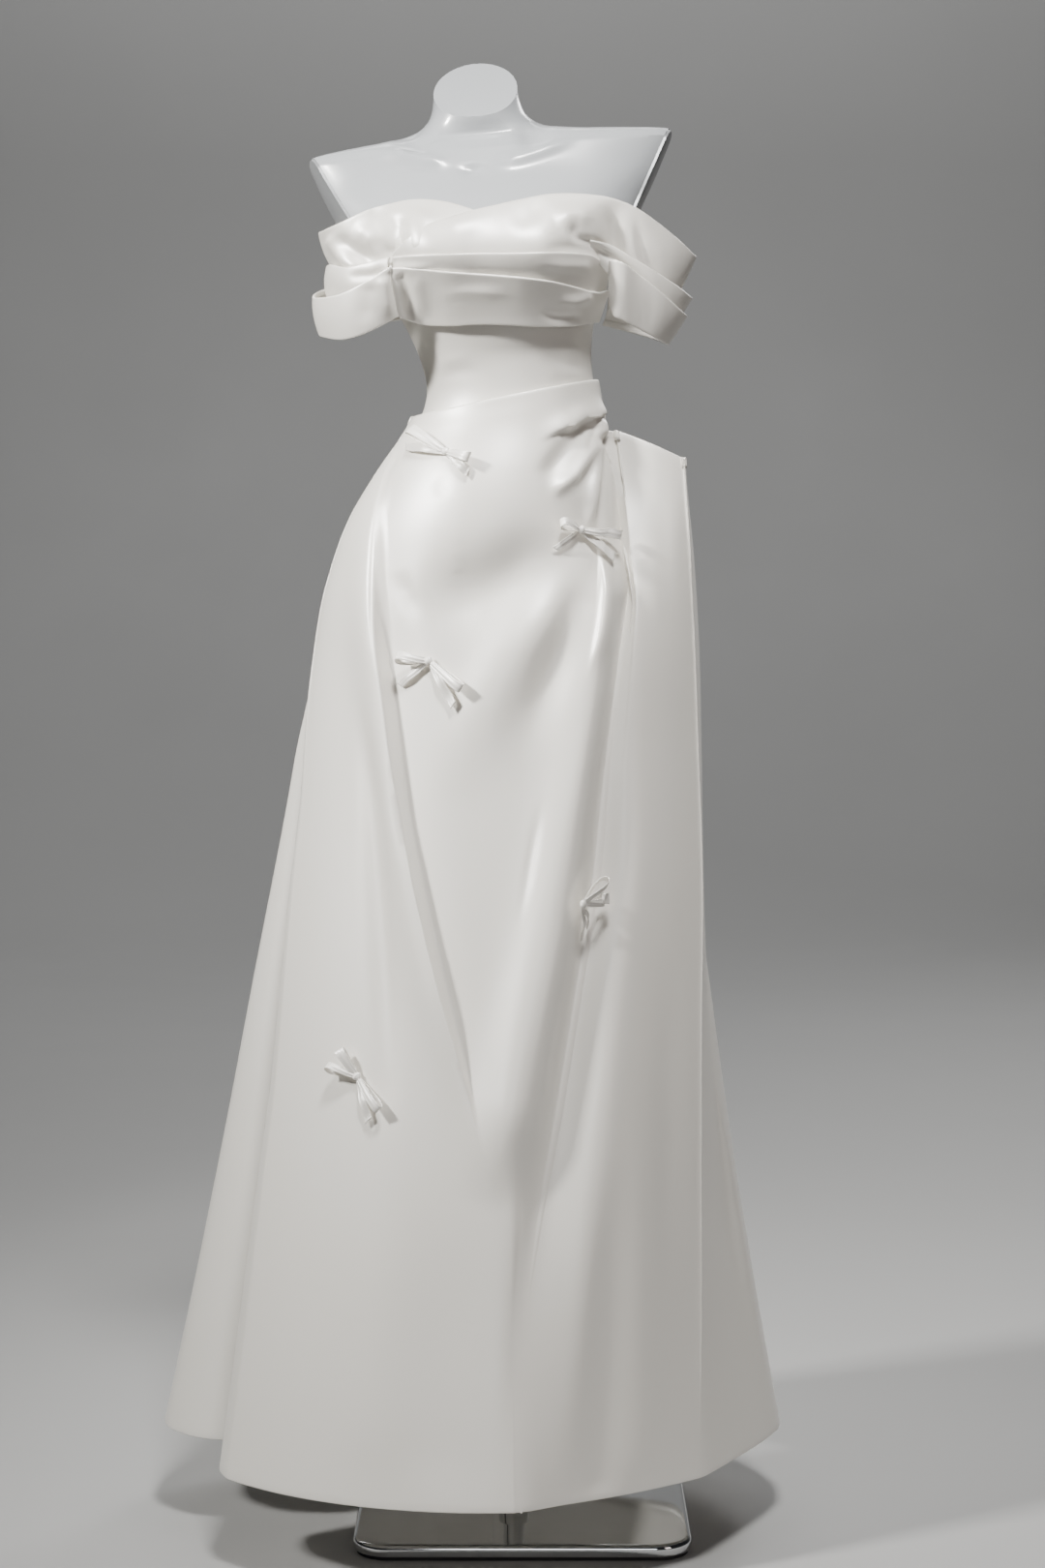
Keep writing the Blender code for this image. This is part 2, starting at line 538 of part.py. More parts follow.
def body_point(x, height, lift, back=False):
    """Point of the form's front, or back, at x and height, moved outwards by lift."""
    x, height, lift = (np.asarray(value, float) for value in (x, height, lift))
    section = along(FORM, height)
    level = height - section.roll * (x - section.centre_x)
    section = along(FORM, level)
    side = np.clip((x - section.centre_x) / (section.half_width + lift), -0.97, 0.97)
    turn = np.arcsin(side)
    if back:
        turn = math.pi - turn
    deep = (section.back if back else section.front) + lift
    y = section.centre_y - deep * np.cos(turn)
    y = y - cup_rise(x, height, section.centre_x, np.cos(turn))
    return np.stack([x, y, height], -1)


def cut_flat(mesh, point, direction):
    """Cuts away what lies beyond a plane above the armpits, and closes the cut."""
    normal = Vector(direction).normalized()
    faces = [face for face in mesh.faces if all(vert.co.z > ARMPIT_HEIGHT for vert in face.verts)]
    edges = dict.fromkeys(edge for face in faces for edge in face.edges)
    verts = dict.fromkeys(vert for face in faces for vert in face.verts)
    bmesh.ops.bisect_plane(
        mesh,
        geom=[*verts, *edges, *faces],
        dist=TINY,
        plane_co=Vector(point),
        plane_no=normal,
        clear_outer=True,
    )
    rim = [edge for edge in mesh.edges if edge.is_boundary]
    return bmesh.ops.holes_fill(mesh, edges=rim, sides=0)["faces"]


def add_arm_cap(name, face, material, collection):
    """A thin plate over the flat cut of a shoulder."""
    normal = face.normal.copy()
    middle = face.calc_center_median()
    mesh = bmesh.new()
    outline = [
        mesh.verts.new(middle + (vert.co - middle) * CAP_SCALE + normal * GAP) for vert in face.verts
    ]
    plate = mesh.faces.new(outline)
    grown = bmesh.ops.extrude_face_region(mesh, geom=[plate])["geom"]
    raised = [part for part in grown if isinstance(part, bmesh.types.BMVert)]
    bmesh.ops.translate(mesh, verts=raised, vec=normal * CAP_THICKNESS)
    bmesh.ops.recalc_face_normals(mesh, faces=mesh.faces[:])
    return add_object(name, mesh, material, collection)


def build_form(collection, white, grey):
    turns = np.linspace(-math.pi, math.pi, FORM_SEGMENTS + 1)
    hips = np.linspace(FORM[0].height, FORM_WAISTED, HIP_ROWS, endpoint=False)
    heights = np.concatenate([hips, np.linspace(FORM_WAISTED, FORM[-1].height, FORM_ROWS)])
    lower = form_surface(turns[:, None], heights[None, :])
    rings = spline(np.array(NECK, float), NECK_STEPS)
    upper = []
    for ring in rings[1:]:
        upper.append(np.stack(form_plan(FormSection(*ring), turns), -1))
    points = np.concatenate([lower, np.stack(upper, 1)], 1)
    mesh = grid_mesh(points)
    bmesh.ops.remove_doubles(mesh, verts=mesh.verts[:], dist=MERGE)
    ends = [edge for edge in mesh.edges if edge.is_boundary]
    bmesh.ops.holes_fill(mesh, edges=ends, sides=0)
    bmesh.ops.recalc_face_normals(mesh, faces=mesh.faces[:])
    cut_flat(mesh, *NECK_CUT)
    for name, cut in (("arm_cap_left", LEFT_ARM_CUT), ("arm_cap_right", RIGHT_ARM_CUT)):
        made = cut_flat(mesh, *cut)
        bmesh.ops.recalc_face_normals(mesh, faces=mesh.faces[:])
        add_arm_cap(name, max(made, key=lambda face: face.calc_area()), grey, collection)
    return add_object("form_torso", mesh, white, collection)


# The stand


def bevel_edges(mesh, edges, offset, segments):
    bmesh.ops.bevel(
        mesh, geom=edges, offset=offset, segments=segments, profile=0.5, affect="EDGES", material=-1
    )


def add_slab(name, width, depth, corner, bottom, top, rounding, material, collection):
    """A plate with round corners and, where rounding is given, a rounded upper edge."""
    mesh = bmesh.new()
    bmesh.ops.create_cube(mesh, size=1)
    bmesh.ops.scale(mesh, verts=mesh.verts[:], vec=(width, depth, top - bottom))
    bmesh.ops.translate(mesh, verts=mesh.verts[:], vec=(0, 0, (top + bottom) / 2))
    upright = [edge for edge in mesh.edges if abs(edge.verts[0].co.z - edge.verts[1].co.z) > TINY]
    bevel_edges(mesh, upright, corner, CORNER_SEGMENTS)
    if rounding:
        upper = [edge for edge in mesh.edges if all(vert.co.z > top - TINY for vert in edge.verts)]
        bevel_edges(mesh, upper, rounding, ROUNDING_SEGMENTS)
    return add_object(name, mesh, material, collection)


def add_turned(name, profile, centre, material, collection, closed=False):
    """A solid turned about a vertical line: the profile runs from top to bottom on its outside."""
    mesh = bmesh.new()
    verts = [mesh.verts.new((radius, 0, height)) for radius, height in profile]
    for one, two in zip(verts, verts[1:] + verts[:1] if closed else verts[1:]):
        mesh.edges.new((one, two))
    data = bpy.data.meshes.new(name)
    mesh.to_mesh(data)
    mesh.free()
    data.materials.append(material)
    obj = bpy.data.objects.new(name, data)
    obj.location = centre
    collection.objects.link(obj)
    screw = obj.modifiers.new("turn", "SCREW")
    screw.steps = TURNED_STEPS
    screw.render_steps = TURNED_STEPS
    screw.use_merge_vertices = True
    screw.merge_threshold = MERGE
    screw.use_smooth_shade = True
    return obj


def build_stand(collection, chrome, black):
    base_bottom = PAD_THICKNESS + GAP
    base_top = base_bottom + BASE_THICKNESS
    add_slab(
        "base_pad",
        BASE_WIDTH - 2 * PAD_INSET,
        BASE_DEPTH - 2 * PAD_INSET,
        BASE_CORNER - PAD_INSET,
        0,
        PAD_THICKNESS,
        0,
        black,
        collection,
    )
    add_slab(
        "base_plate",
        BASE_WIDTH,
        BASE_DEPTH,
        BASE_CORNER,
        base_bottom,
        base_top,
        BASE_ROUNDING,
        chrome,
        collection,
    )
    foot = base_top + GAP
    bore = POLE_RADIUS + GAP
    outside = [(radius, foot + height) for radius, height in SOCKET]
    socket = [(bore, outside[0][1]), *outside, (bore, foot)]
    centre = (POLE_X, 0, 0)
    add_turned("pole_socket", socket, centre, chrome, collection, closed=True)
    pole_top = FORM_BOTTOM - GAP
    pole = [(0, pole_top), (POLE_RADIUS, pole_top), (POLE_RADIUS, foot), (0, foot)]
    add_turned("pole", pole, centre, chrome, collection)
    fitting = [
        (bore, pole_top),
        (FITTING_RADIUS, pole_top),
        (FITTING_RADIUS, pole_top - FITTING_HEIGHT + FITTING_CHAMFER),
        (FITTING_RADIUS - FITTING_CHAMFER, pole_top - FITTING_HEIGHT),
        (bore, pole_top - FITTING_HEIGHT),
    ]
    add_turned("form_fitting", fitting, centre, chrome, collection, closed=True)


# The bodice


def bodice_top(turn):
    """Height of the bodice's upper edge: under the drapes in front and behind, lower at the arms."""
    facing = np.cos(turn)
    high = np.where(facing > 0, BODICE_TOP_FRONT, BODICE_TOP_BACK)
    return BODICE_TOP_ARM + (high - BODICE_TOP_ARM) * smooth_step(*BODICE_FACING, np.abs(facing))


def build_bodice(collection, satin):
    pieces = (
        ("bodice_front", -math.pi / 2 + SEAM_MARGIN, math.pi / 2 - SEAM_MARGIN),
        ("bodice_back_right", math.pi / 2 + SEAM_MARGIN, math.pi - SEAM_MARGIN),
        ("bodice_back_left", -math.pi + SEAM_MARGIN, -math.pi / 2 - SEAM_MARGIN),
    )
    for name, start, end in pieces:
        columns = round(FORM_SEGMENTS * (end - start) / math.tau)
        turns = np.linspace(start, end, columns + 1)[:, None]
        part_way = np.linspace(0, 1, BODICE_ROWS)[None, :]
        heights = BODICE_BOTTOM + (bodice_top(turns) - BODICE_BOTTOM) * part_way
        lift = FORM_CLEARANCE + CUP_CLEARANCE * smooth_step(*BODICE_EASED, heights)
        add_cloth(name, form_surface(turns, heights, lift), BODICE_WALL, satin, collection)


# The skirt


def skirt_plan(turn, height, lift=0.0):
    """Points of the skirt's ring, with the outward direction in plan."""
    turn, height = np.broadcast_arrays(np.asarray(turn, float), np.asarray(height, float))
    section = along(SKIRT, height)
    sine, cosine = np.sin(turn), np.cos(turn)
    side = np.where(sine > 0, section.right - section.centre_x, section.centre_x - section.left)
    deep = np.where(cosine > 0, section.centre_y - section.front, section.back - section.centre_y)
    x = section.centre_x + side * sine
    y = section.centre_y - deep * cosine
    out_x, out_y = sine / side, -cosine / deep
    size = np.hypot(out_x, out_y)
    out_x, out_y = out_x / size, out_y / size
    points = np.stack([x + out_x * lift, y + out_y * lift, height], -1)
    return points, np.stack([out_x, out_y, np.zeros_like(out_x)], -1)


def turn_at(x, height):
    """Angle of the skirt's ring where its front half passes x."""
    section = along(SKIRT, height)
    side = np.where(
        x > section.centre_x, section.right - section.centre_x, section.centre_x - section.left
    )
    return np.arcsin(np.clip((x - section.centre_x) / side, -0.999, 0.999))


def waist_line(turn):
    return WAIST_HEIGHT + WAIST_RISE * np.sin(turn)


def fold_rise(points, fold):
    """How far a fold moves the cloth outwards at each point, by its distance from the fold's line."""
    route = spline(fold.route, [4] * (len(fold.route) - 1))
    lengths = np.hypot(*np.diff(route, axis=0).T)
    reached = np.concatenate([[0], np.cumsum(lengths)]) / lengths.sum()
    x, height = points[..., 0], points[..., 2]
    nearest = np.full(x.shape, np.inf)
    side = np.zeros(x.shape)
    place = np.zeros(x.shape)
    for i, (start, stop) in enumerate(zip(route[:-1], route[1:])):
        run = stop - start
        t = np.clip(((x - start[0]) * run[0] + (height - start[1]) * run[1]) / run.dot(run), 0, 1)
        away_x, away_z = x - start[0] - t * run[0], height - start[1] - t * run[1]
        away = np.hypot(away_x, away_z)
        closer = away < nearest
        nearest = np.where(closer, away, nearest)
        side = np.where(closer, np.sign(run[0] * away_z - run[1] * away_x), side)
        place = np.where(closer, reached[i] + t * (reached[i + 1] - reached[i]), place)
    strength = smooth_step(0, fold.start, place) * smooth_step(0, fold.end, 1 - place)
    if fold.kind == "lip":
        past = nearest * side
        high = np.exp(-((np.minimum(past, 0) / fold.width) ** 2))
        high = high * (1 - smooth_step(0, LIP_DROP, past))
        low = LIP_HOLLOW * np.exp(-(((past - LIP_DROP) / fold.width) ** 2))
        shape = high - low * smooth_step(0, LIP_DROP, past)
    else:
        shape = np.exp(-((nearest / fold.width) ** 2)) * (1 if fold.kind == "ridge" else -1)
    return fold.rise * strength * shape


def drape_rise(points):
    rise = sum(fold_rise(points, fold) for fold in FOLDS)
    belly_x, belly_height, radius, height = BELLY
    away = ((points[..., 0] - belly_x) ** 2 + (points[..., 2] - belly_height) ** 2) / radius**2
    return rise + height * np.exp(-away)


def blended_turns(stops, counts):
    """Angles stepped evenly between each pair of neighbouring stops."""
    out = []
    for start, stop, count in zip(stops[:-1], stops[1:], counts):
        out += [start + (stop - start) * step / count for step in range(count)]
    return out + [stops[-1]]


def skirt_front_points():
    """The draped front, one row for each step from the hem to the waist."""
    grid = []
    for share in np.linspace(0, 1, FRONT_ROWS):
        height = HEM_HEIGHT + (WAIST_HEIGHT - HEM_HEIGHT) * share
        grid.append(front_row(share, height))
    return np.stack(grid, 1)


def front_row(share, level):
    """One row of the draped front, from its rolled left edge to the valley at its right."""
    line = along(DRAPE, level)
    high = smooth_step(*HIP_LEVELS, level)
    corner = math.radians(line.corner_turn)
    lip = max(turn_at(line.lip_x, level), corner + LIP_MARGIN)
    valley = turn_at(line.valley_x, level)
    valley = valley + (max(math.radians(HIP_TURN), valley) - valley) * high * HIP_SHARE
    stops = [corner, lip - LIP_BEFORE, lip + LIP_AFTER, turn_at(line.ridge_x, level), valley]
    turns = blended_turns(stops, FRONT_STEPS)
    turns = np.array([float(turn) for turn in turns])
    heights = HEM_HEIGHT + (waist_line(turns) - HEM_HEIGHT) * share
    points, outward = skirt_plan(turns, heights)
    fade = smooth_step(0, WAIST_FADE, waist_line(turns) - heights)
    points = points + outward * (drape_rise(points) * fade)[:, None]
    roll = [points[0] + np.array([x, y, 0]) * float(line.curl) for x, y in ROLL]
    tuck = []
    for angle, (x, y) in zip(TUCK_TURNS, TUCK_OFFSETS):
        around, _ = skirt_plan(angle, HEM_HEIGHT + (waist_line(angle) - HEM_HEIGHT) * share)
        beside = points[-1] + np.array([x, y, 0])
        tuck.append(around * high + beside * (1 - high))
    return np.concatenate([roll, points, tuck])


def side_panel_points():
    """The side panel: each column climbs to its own height on the panel's slanting upper edge."""
    columns = []
    for column, top in enumerate(panel_tops()):
        heights = HEM_HEIGHT + (top - HEM_HEIGHT) * np.linspace(0, 1, PANEL_ROWS)
        columns.append([panel_ring(height)[column] for height in heights])
    return np.array(columns)


def panel_tops():
    """Height of the side panel's upper edge at each of its columns."""
    stops = [PANEL_TOP_INNER] * 3
    middle = (PANEL_TOP_INNER + PANEL_TOP_CORNER) / 2
    stops += [middle, PANEL_TOP_CORNER, PANEL_TOP_CORNER, PANEL_TOP_SIDE, PANEL_TOP_SEAM]
    tops = spline(np.array(stops)[:, None], PANEL_STEPS)[:, 0]
    return np.append(tops, [PANEL_TOP_SEAM] * (LAP_COLUMNS - 1))


def valley_point(height):
    """Bottom of the valley between the draped front and the side panel."""
    line = along(DRAPE, height)
    point, outward = skirt_plan(turn_at(line.valley_x, height), height)
    return point + outward * drape_rise(point)


def panel_ring(height):
    """One row of the side panel, from the valley round its corner to the seam behind."""
    line = along(PANEL, height)
    high = smooth_step(*PANEL_PARTS, height)
    seam_turn = math.radians(float(line.seam_turn))
    lap_turns = np.linspace(seam_turn - SEAM_LAP, seam_turn, LAP_COLUMNS)
    lap, _ = skirt_plan(lap_turns, height, SEAM_LIFT)
    valley = valley_point(height)[:2] + np.array(VALLEY_GAP)
    edge = np.array([line.edge_x, line.edge_y]) * high + valley * (1 - high)
    ridge = np.array([line.ridge_x, line.ridge_y])
    corner = np.array([line.corner_x, line.corner_y])
    side = np.array([line.side_x, line.side_y])
    face = corner - ridge
    rising = edge + (ridge - edge) * RISING_SHARE + np.array(RISING_OFFSET)
    middle = ridge + face / 2 + np.array(FACE_BOW)
    before = corner - face * CORNER_BEFORE
    after = corner + (side - corner) * CORNER_AFTER
    route = [edge, rising, ridge, middle, before, after, side, lap[0, :2]]
    flat = np.concatenate([spline(route, PANEL_STEPS), lap[1:, :2]])
    return np.column_stack([flat, np.full(len(flat), float(height))])


def skirt_back_points(side):
    """Half of the back, from the centre-back seam to where it runs under the front or the panel."""
    make_row = back_row_left if side == "left" else back_row_right
    grid = []
    for share in np.linspace(0, 1, BACK_ROWS):
        grid.append(make_row(share, HEM_HEIGHT + (WAIST_HEIGHT - HEM_HEIGHT) * share))
    return np.stack(grid, 1)


def back_row_right(share, level):
    """One row of the right half of the back, from under the side panel's lap to the centre."""
    side_seam = math.radians(RIGHT_SEAM_TURN)
    under = math.radians(float(along(PANEL, level).seam_turn)) - SEAM_LAP * RIGHT_UNDER
    low = 1 - smooth_step(*RIGHT_LEVELS, level)
    first = side_seam * (1 - low) + min(under, side_seam) * low
    turns = np.linspace(first, math.pi - SEAM_MARGIN, BACK_COLUMNS["right"])
    return skirt_plan(turns, HEM_HEIGHT + (waist_line(turns) - HEM_HEIGHT) * share)[0]


def back_row_left(share, level):
    """One row of the left half of the back, which runs in under the front's rolled edge."""
    curl = float(along(DRAPE, level).curl)
    inset = SIDE_INSET * smooth_step(*LEFT_LEVELS, level)
    last = -math.radians(LEFT_SEAM_TURN + LEFT_SEAM_CURL * curl)
    turns = np.linspace(-math.pi + SEAM_MARGIN, last, BACK_COLUMNS["left"])
    heights = HEM_HEIGHT + (waist_line(turns) - HEM_HEIGHT) * share
    near = smooth_step(*np.radians(LEFT_NEAR), turns)
    points, _ = skirt_plan(turns, heights, -inset * near)
    start, _ = skirt_plan(-math.pi / 2, heights[-1], -inset)
    tuck = [start + np.array([x, y, 0]) * curl for x, y in UNDERLAP]
    return np.concatenate([points, tuck])


def build_skirt(collection, satin):
    add_cloth("skirt_front", skirt_front_points(), SKIRT_WALL, satin, collection)
    add_cloth("side_panel", side_panel_points(), SKIRT_WALL, satin, collection)
    for side in ("left", "right"):
        name = "skirt_back_" + side
        add_cloth(name, skirt_back_points(side), SKIRT_WALL, satin, collection)


# The bows


def front_surface(x, height):
    """Point of the draped front's outer side, and the direction away from it."""
    places = []
    for step_x, step_height in ((0, 0), (SLOPE_STEP, 0), (0, SLOPE_STEP)):
        at_x, at_height = x + step_x, height + step_height
        point, outward = skirt_plan(turn_at(at_x, at_height), at_height, SKIRT_WALL)
        places.append(point + outward * drape_rise(point))
    away = np.cross(places[1] - places[0], places[2] - places[0])
    return Vector(places[0]), Vector(away).normalized()


def ribbon_points(line, widths, across, slant=0.0):
    """A flat ribbon along a line; slant draws its last end out to one side."""
    rows = []
    for share in (-0.5, 0.5):
        shifted = [point + across * width * share for point, width in zip(line, widths)]
        shifted[-1] = shifted[-1] + (line[-1] - line[-2]).normalized() * slant * share
        rows.append(shifted)
    return np.swapaxes(np.array([[tuple(point) for point in row] for row in rows]), 0, 1)


def loop_line(frame, angle, length):
    """A bow's loop: out along the cloth, round, and back above."""
    along_cloth, across, away, knot = frame
    out = along_cloth * math.cos(angle) + across * math.sin(angle)
    line = []
    widths = []
    for step in range(LOOP_STEPS + 1):
        share = step / LOOP_STEPS
        swing = math.sin(math.pi * share)
        rise = LOOP_SPREAD * share + LOOP_HEIGHT * swing * (1 - math.cos(math.pi * share))
        line.append(knot + out * length * swing + away * (rise - RIBBON_SINK))
        widths.append(RIBBON_PINCH + (RIBBON_WIDTH - RIBBON_PINCH) * swing**0.7)
    return line, widths, away.cross(out)


def tail_line(frame, angle, length):
    """A bow's tail, which lies along the cloth in a low arch."""
    along_cloth, across, away, knot = frame
    out = along_cloth * math.cos(angle) + across * math.sin(angle)
    line = []
    widths = []
    for step in range(TAIL_STEPS + 1):
        share = step / TAIL_STEPS
        rise = TAIL_ARCH * math.sin(math.pi * share) - RIBBON_SINK
        line.append(knot + out * length * share + away * rise)
        widths.append(RIBBON_PINCH + (RIBBON_WIDTH - RIBBON_PINCH) * min(1, share * 2))
    return line, widths, away.cross(out)


def build_bow(bow, satin, collection, helpers):
    """A tied bow: the knot, joined with two loops and two tails."""
    surface, away = front_surface(bow.x, bow.height)
    level = Vector((1, 0, 0))
    level = (level - away * level.dot(away)).normalized()
    along_cloth = Matrix.Rotation(math.radians(bow.tilt), 3, away) @ level
    across = away.cross(along_cloth)
    knot = surface + away * bow.lift
    frame = (along_cloth, across, away, knot)
    pieces = [
        (loop_line(frame, math.radians(180 + bow.spread), bow.loop_left), 0.0),
        (loop_line(frame, math.radians(bow.spread), bow.loop_right), 0.0),
        (tail_line(frame, math.radians(bow.tail_turn), bow.tail), TAIL_SLANT),
        (tail_line(frame, math.radians(180 - bow.tail_turn), bow.tail), -TAIL_SLANT),
    ]
    mesh = bmesh.new()
    around, upwards = KNOT_STEPS
    bmesh.ops.create_uvsphere(mesh, u_segments=around, v_segments=upwards, radius=1)
    bmesh.ops.scale(mesh, verts=mesh.verts[:], vec=KNOT_SIZE)
    turned = Matrix((along_cloth, across, away)).transposed().to_4x4()
    bmesh.ops.transform(mesh, verts=mesh.verts[:], matrix=Matrix.Translation(knot) @ turned)
    obj = add_object(bow.name, mesh, satin, collection)
    for number, ((line, widths, side), slant) in enumerate(pieces):
        points = ribbon_points(line, widths, side, slant)
        helper = add_cloth(f"{bow.name}_ribbon_{number}", points, RIBBON_WALL, satin, helpers)
        helper.modifiers["wall"].offset = 0
        helper.hide_render = True
        helper.display_type = "WIRE"
        join = obj.modifiers.new("ribbon", "BOOLEAN")
        join.operation = "UNION"
        join.solver = "EXACT"
        join.object = helper


# The collar


def section_points(section, rows):
    """Points of one section of a strip, from its bottom to its top."""
    up = np.linspace(0, 1, rows)
    if isinstance(section, Body):
        back = section.side == "back"
        x = section.bottom_x + (section.top_x - section.bottom_x) * up
        height = section.bottom_height + (section.top_height - section.bottom_height) * up
        lift = section.bottom_lift + (section.top_lift - section.bottom_lift) * up
        return body_point(x, height, lift, back)
    top = np.array([section.top_x, section.top_y, section.top_height])
    bottom = np.array([section.bottom_x, section.bottom_y, section.bottom_height])
    middle = np.array([COLLAR_MIDDLE[0], COLLAR_MIDDLE[1], 0])
    outward = (top + bottom) / 2 - middle
    outward[2] = 0
    outward = outward / np.linalg.norm(outward)
    bulge = (section.puff * 4 * up * (1 - up))[:, None]
    return bottom + (top - bottom) * up[:, None] + outward * bulge


def strip_points(sections, rows, steps):
    """A strip through its sections, which run anticlockwise seen from above."""
    stations = np.array([section_points(section, rows) for section in sections])
    return spline(stations, [steps] * (len(sections) - 1))


def build_collar(collection, satin):
    for name, sections in COLLAR.items():
        rows = 5 if name.startswith("wrap") else 4
        add_cloth(name, strip_points(sections, rows, COLLAR_STEPS), COLLAR_WALL, satin, collection)


# Everything


def main():
    clear_scene()
    dress = new_collection("wedding_dress")
    cutters = new_collection("cutters", hidden=True)
    satin = new_material("ivory_satin", (0.86, 0.84, 0.80), 0.38)
    white = new_material("white_gloss", (0.88, 0.89, 0.90), 0.18, coat=0.6)
    grey = new_material("grey_cap", (0.45, 0.46, 0.47), 0.35, metallic=0.6)
    chrome = new_material("chrome", (0.80, 0.80, 0.80), 0.08, metallic=1.0)
    black = new_material("black_rubber", (0.02, 0.02, 0.02), 0.8)
    build_stand(dress, chrome, black)
    build_form(dress, white, grey)
    build_bodice(dress, satin)
    build_skirt(dress, satin)
    build_collar(dress, satin)
    for bow in BOWS:
        build_bow(bow, satin, dress, cutters)


main()
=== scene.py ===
import math
from collections import defaultdict, namedtuple
from functools import partial

import bmesh
import bpy
import numpy as np
from mathutils import Matrix, Vector
from mathutils.bvhtree import BVHTree


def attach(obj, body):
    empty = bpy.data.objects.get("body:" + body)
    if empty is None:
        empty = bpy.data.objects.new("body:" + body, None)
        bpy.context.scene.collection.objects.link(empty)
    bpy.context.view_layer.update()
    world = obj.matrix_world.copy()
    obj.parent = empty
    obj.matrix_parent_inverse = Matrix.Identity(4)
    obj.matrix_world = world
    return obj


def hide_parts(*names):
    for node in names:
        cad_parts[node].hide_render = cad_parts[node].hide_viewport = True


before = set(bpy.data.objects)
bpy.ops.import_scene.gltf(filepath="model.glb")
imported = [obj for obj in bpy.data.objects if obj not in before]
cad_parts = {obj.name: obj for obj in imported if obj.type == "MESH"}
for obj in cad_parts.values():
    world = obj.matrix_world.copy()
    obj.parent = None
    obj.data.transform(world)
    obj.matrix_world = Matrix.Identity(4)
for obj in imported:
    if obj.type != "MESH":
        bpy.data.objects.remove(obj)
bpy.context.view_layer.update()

hemHeight = 0.105
waistHeight = 1.300
waistRise = 0.021
waistFade = 0.022  # the folds die away over this much below the waist
weld = 0.00001
hair = 0.000001
rollSteps = 5
turnedSteps = 64


# every column of a table at the keys `at`, on smooth curves through its rows
def along(rows, at):
    table = np.array(rows, float)
    keys = table[:, 0]
    slopes = np.gradient(table, keys, axis=0)
    at = np.clip(np.asarray(at, float), keys[0], keys[-1])
    low = np.clip(np.searchsorted(keys, at, side="right") - 1, 0, len(keys) - 2)
    span = (keys[low + 1] - keys[low])[..., None]
    t = (at - keys[low])[..., None] / span
    values = (
        (1 + 2 * t) * (1 - t) ** 2 * table[low]
        + t * (1 - t) ** 2 * span * slopes[low]
        + t * t * (3 - 2 * t) * table[low + 1]
        + t * t * (t - 1) * span * slopes[low + 1]
    )
    return type(rows[0])(*np.moveaxis(values, -1, 0))


def smoothStep(low, high, at):
    t = np.clip((np.asarray(at, float) - low) / (high - low), 0, 1)
    return t * t * (3 - 2 * t)


# Catmull-Rom curve through points [n, ...], with counts[i] steps in span i
def spline(points, counts):
    points = np.asarray(points, float)
    ends = np.concatenate([[2 * points[0] - points[1]], points, [2 * points[-1] - points[-2]]])
    out = []
    for i, count in enumerate(counts):
        before, start, stop, after = ends[i : i + 4]
        for step in range(count):
            t = step / count
            slope = (stop - before) * t
            bend = (2 * before - 5 * start + 4 * stop - after) * t * t
            twist = (3 * start - before - 3 * stop + after) * t**3
            out.append(0.5 * (2 * start + slope + bend + twist))
    out.append(points[-1])
    return np.array(out)


# grows over one span and fades over another
def window(grows, fades, at):
    return smoothStep(*grows, at) * (1 - smoothStep(*fades, at))


def unit(vectors):
    return vectors / np.linalg.norm(vectors, axis=-1, keepdims=True)


# where each column or row of a surface lies, as the distance gone along it
def distances(points, axis):
    steps = np.linalg.norm(np.diff(points, axis=axis), axis=-1)
    start = np.zeros_like(np.take(steps, [0], axis))
    return np.cumsum(np.concatenate([start, steps], axis), axis)


# directions away from a surface that is given as points [column, row]
def surfaceNormals(points):
    across = np.gradient(points, axis=0)
    up = np.gradient(points, axis=1)
    normals = np.cross(across, up)
    return normals / np.maximum(np.linalg.norm(normals, axis=-1, keepdims=True), 1e-9)


def moved(points, rise):
    return points + surfaceNormals(points) * np.asarray(rise)[..., None]


# turns one edge of a surface over, and a little way back inside
def rollEdge(points, side, radius, inside):
    axis = 0 if side in ("left", "right") else 1
    last = side in ("right", "top")
    normals = np.take(surfaceNormals(points), -1 if last else 0, axis)
    edge = np.take(points, -1 if last else 0, axis)
    out = unit(edge - np.take(points, -2 if last else 1, axis))
    radius = np.broadcast_to(radius, edge.shape[:1])[:, None]
    rows = []
    for angle in np.linspace(0, math.pi, rollSteps + 1)[1:]:
        rows.append(edge + (out * math.sin(angle) - normals * (1 - math.cos(angle))) * radius)
    under = rows[-1]
    rows += [under - out * inside * share for share in (0.5, 1.0)]
    if last:
        return np.concatenate([points, np.stack(rows, axis)], axis)
    return np.concatenate([np.stack(rows[::-1], axis), points], axis)


# a sheet through points [column, row], with its cloth measured in metres in its UV map
def addSheet(name, points, wall, material):
    columns, rows = points.shape[:2]
    mesh = bmesh.new()
    bmesh.ops.create_grid(mesh, x_segments=columns - 1, y_segments=rows - 1, size=1)
    data = bpy.data.meshes.new(name)
    mesh.to_mesh(data)
    mesh.free()
    flat = np.empty(len(data.vertices) * 3)
    data.vertices.foreach_get("co", flat)
    column = np.rint((flat[0::3] + 1) / 2 * (columns - 1)).astype(int)
    row = np.rint((flat[1::3] + 1) / 2 * (rows - 1)).astype(int)
    data.vertices.foreach_set("co", points[column, row].ravel())
    width = distances(points, 0)[column, row]
    length = distances(points, 1)[column, row]
    corners = np.empty(len(data.loops), dtype=int)
    data.loops.foreach_get("vertex_index", corners)
    layer = data.uv_layers.new(name="cloth")
    layer.data.foreach_set("uv", np.stack([width[corners], length[corners]], -1).ravel())
    data.update()
    obj = addObject(name, data, material, 60)
    solid = obj.modifiers.new("wall", "SOLIDIFY")
    solid.thickness = wall
    solid.offset = -1
    return obj


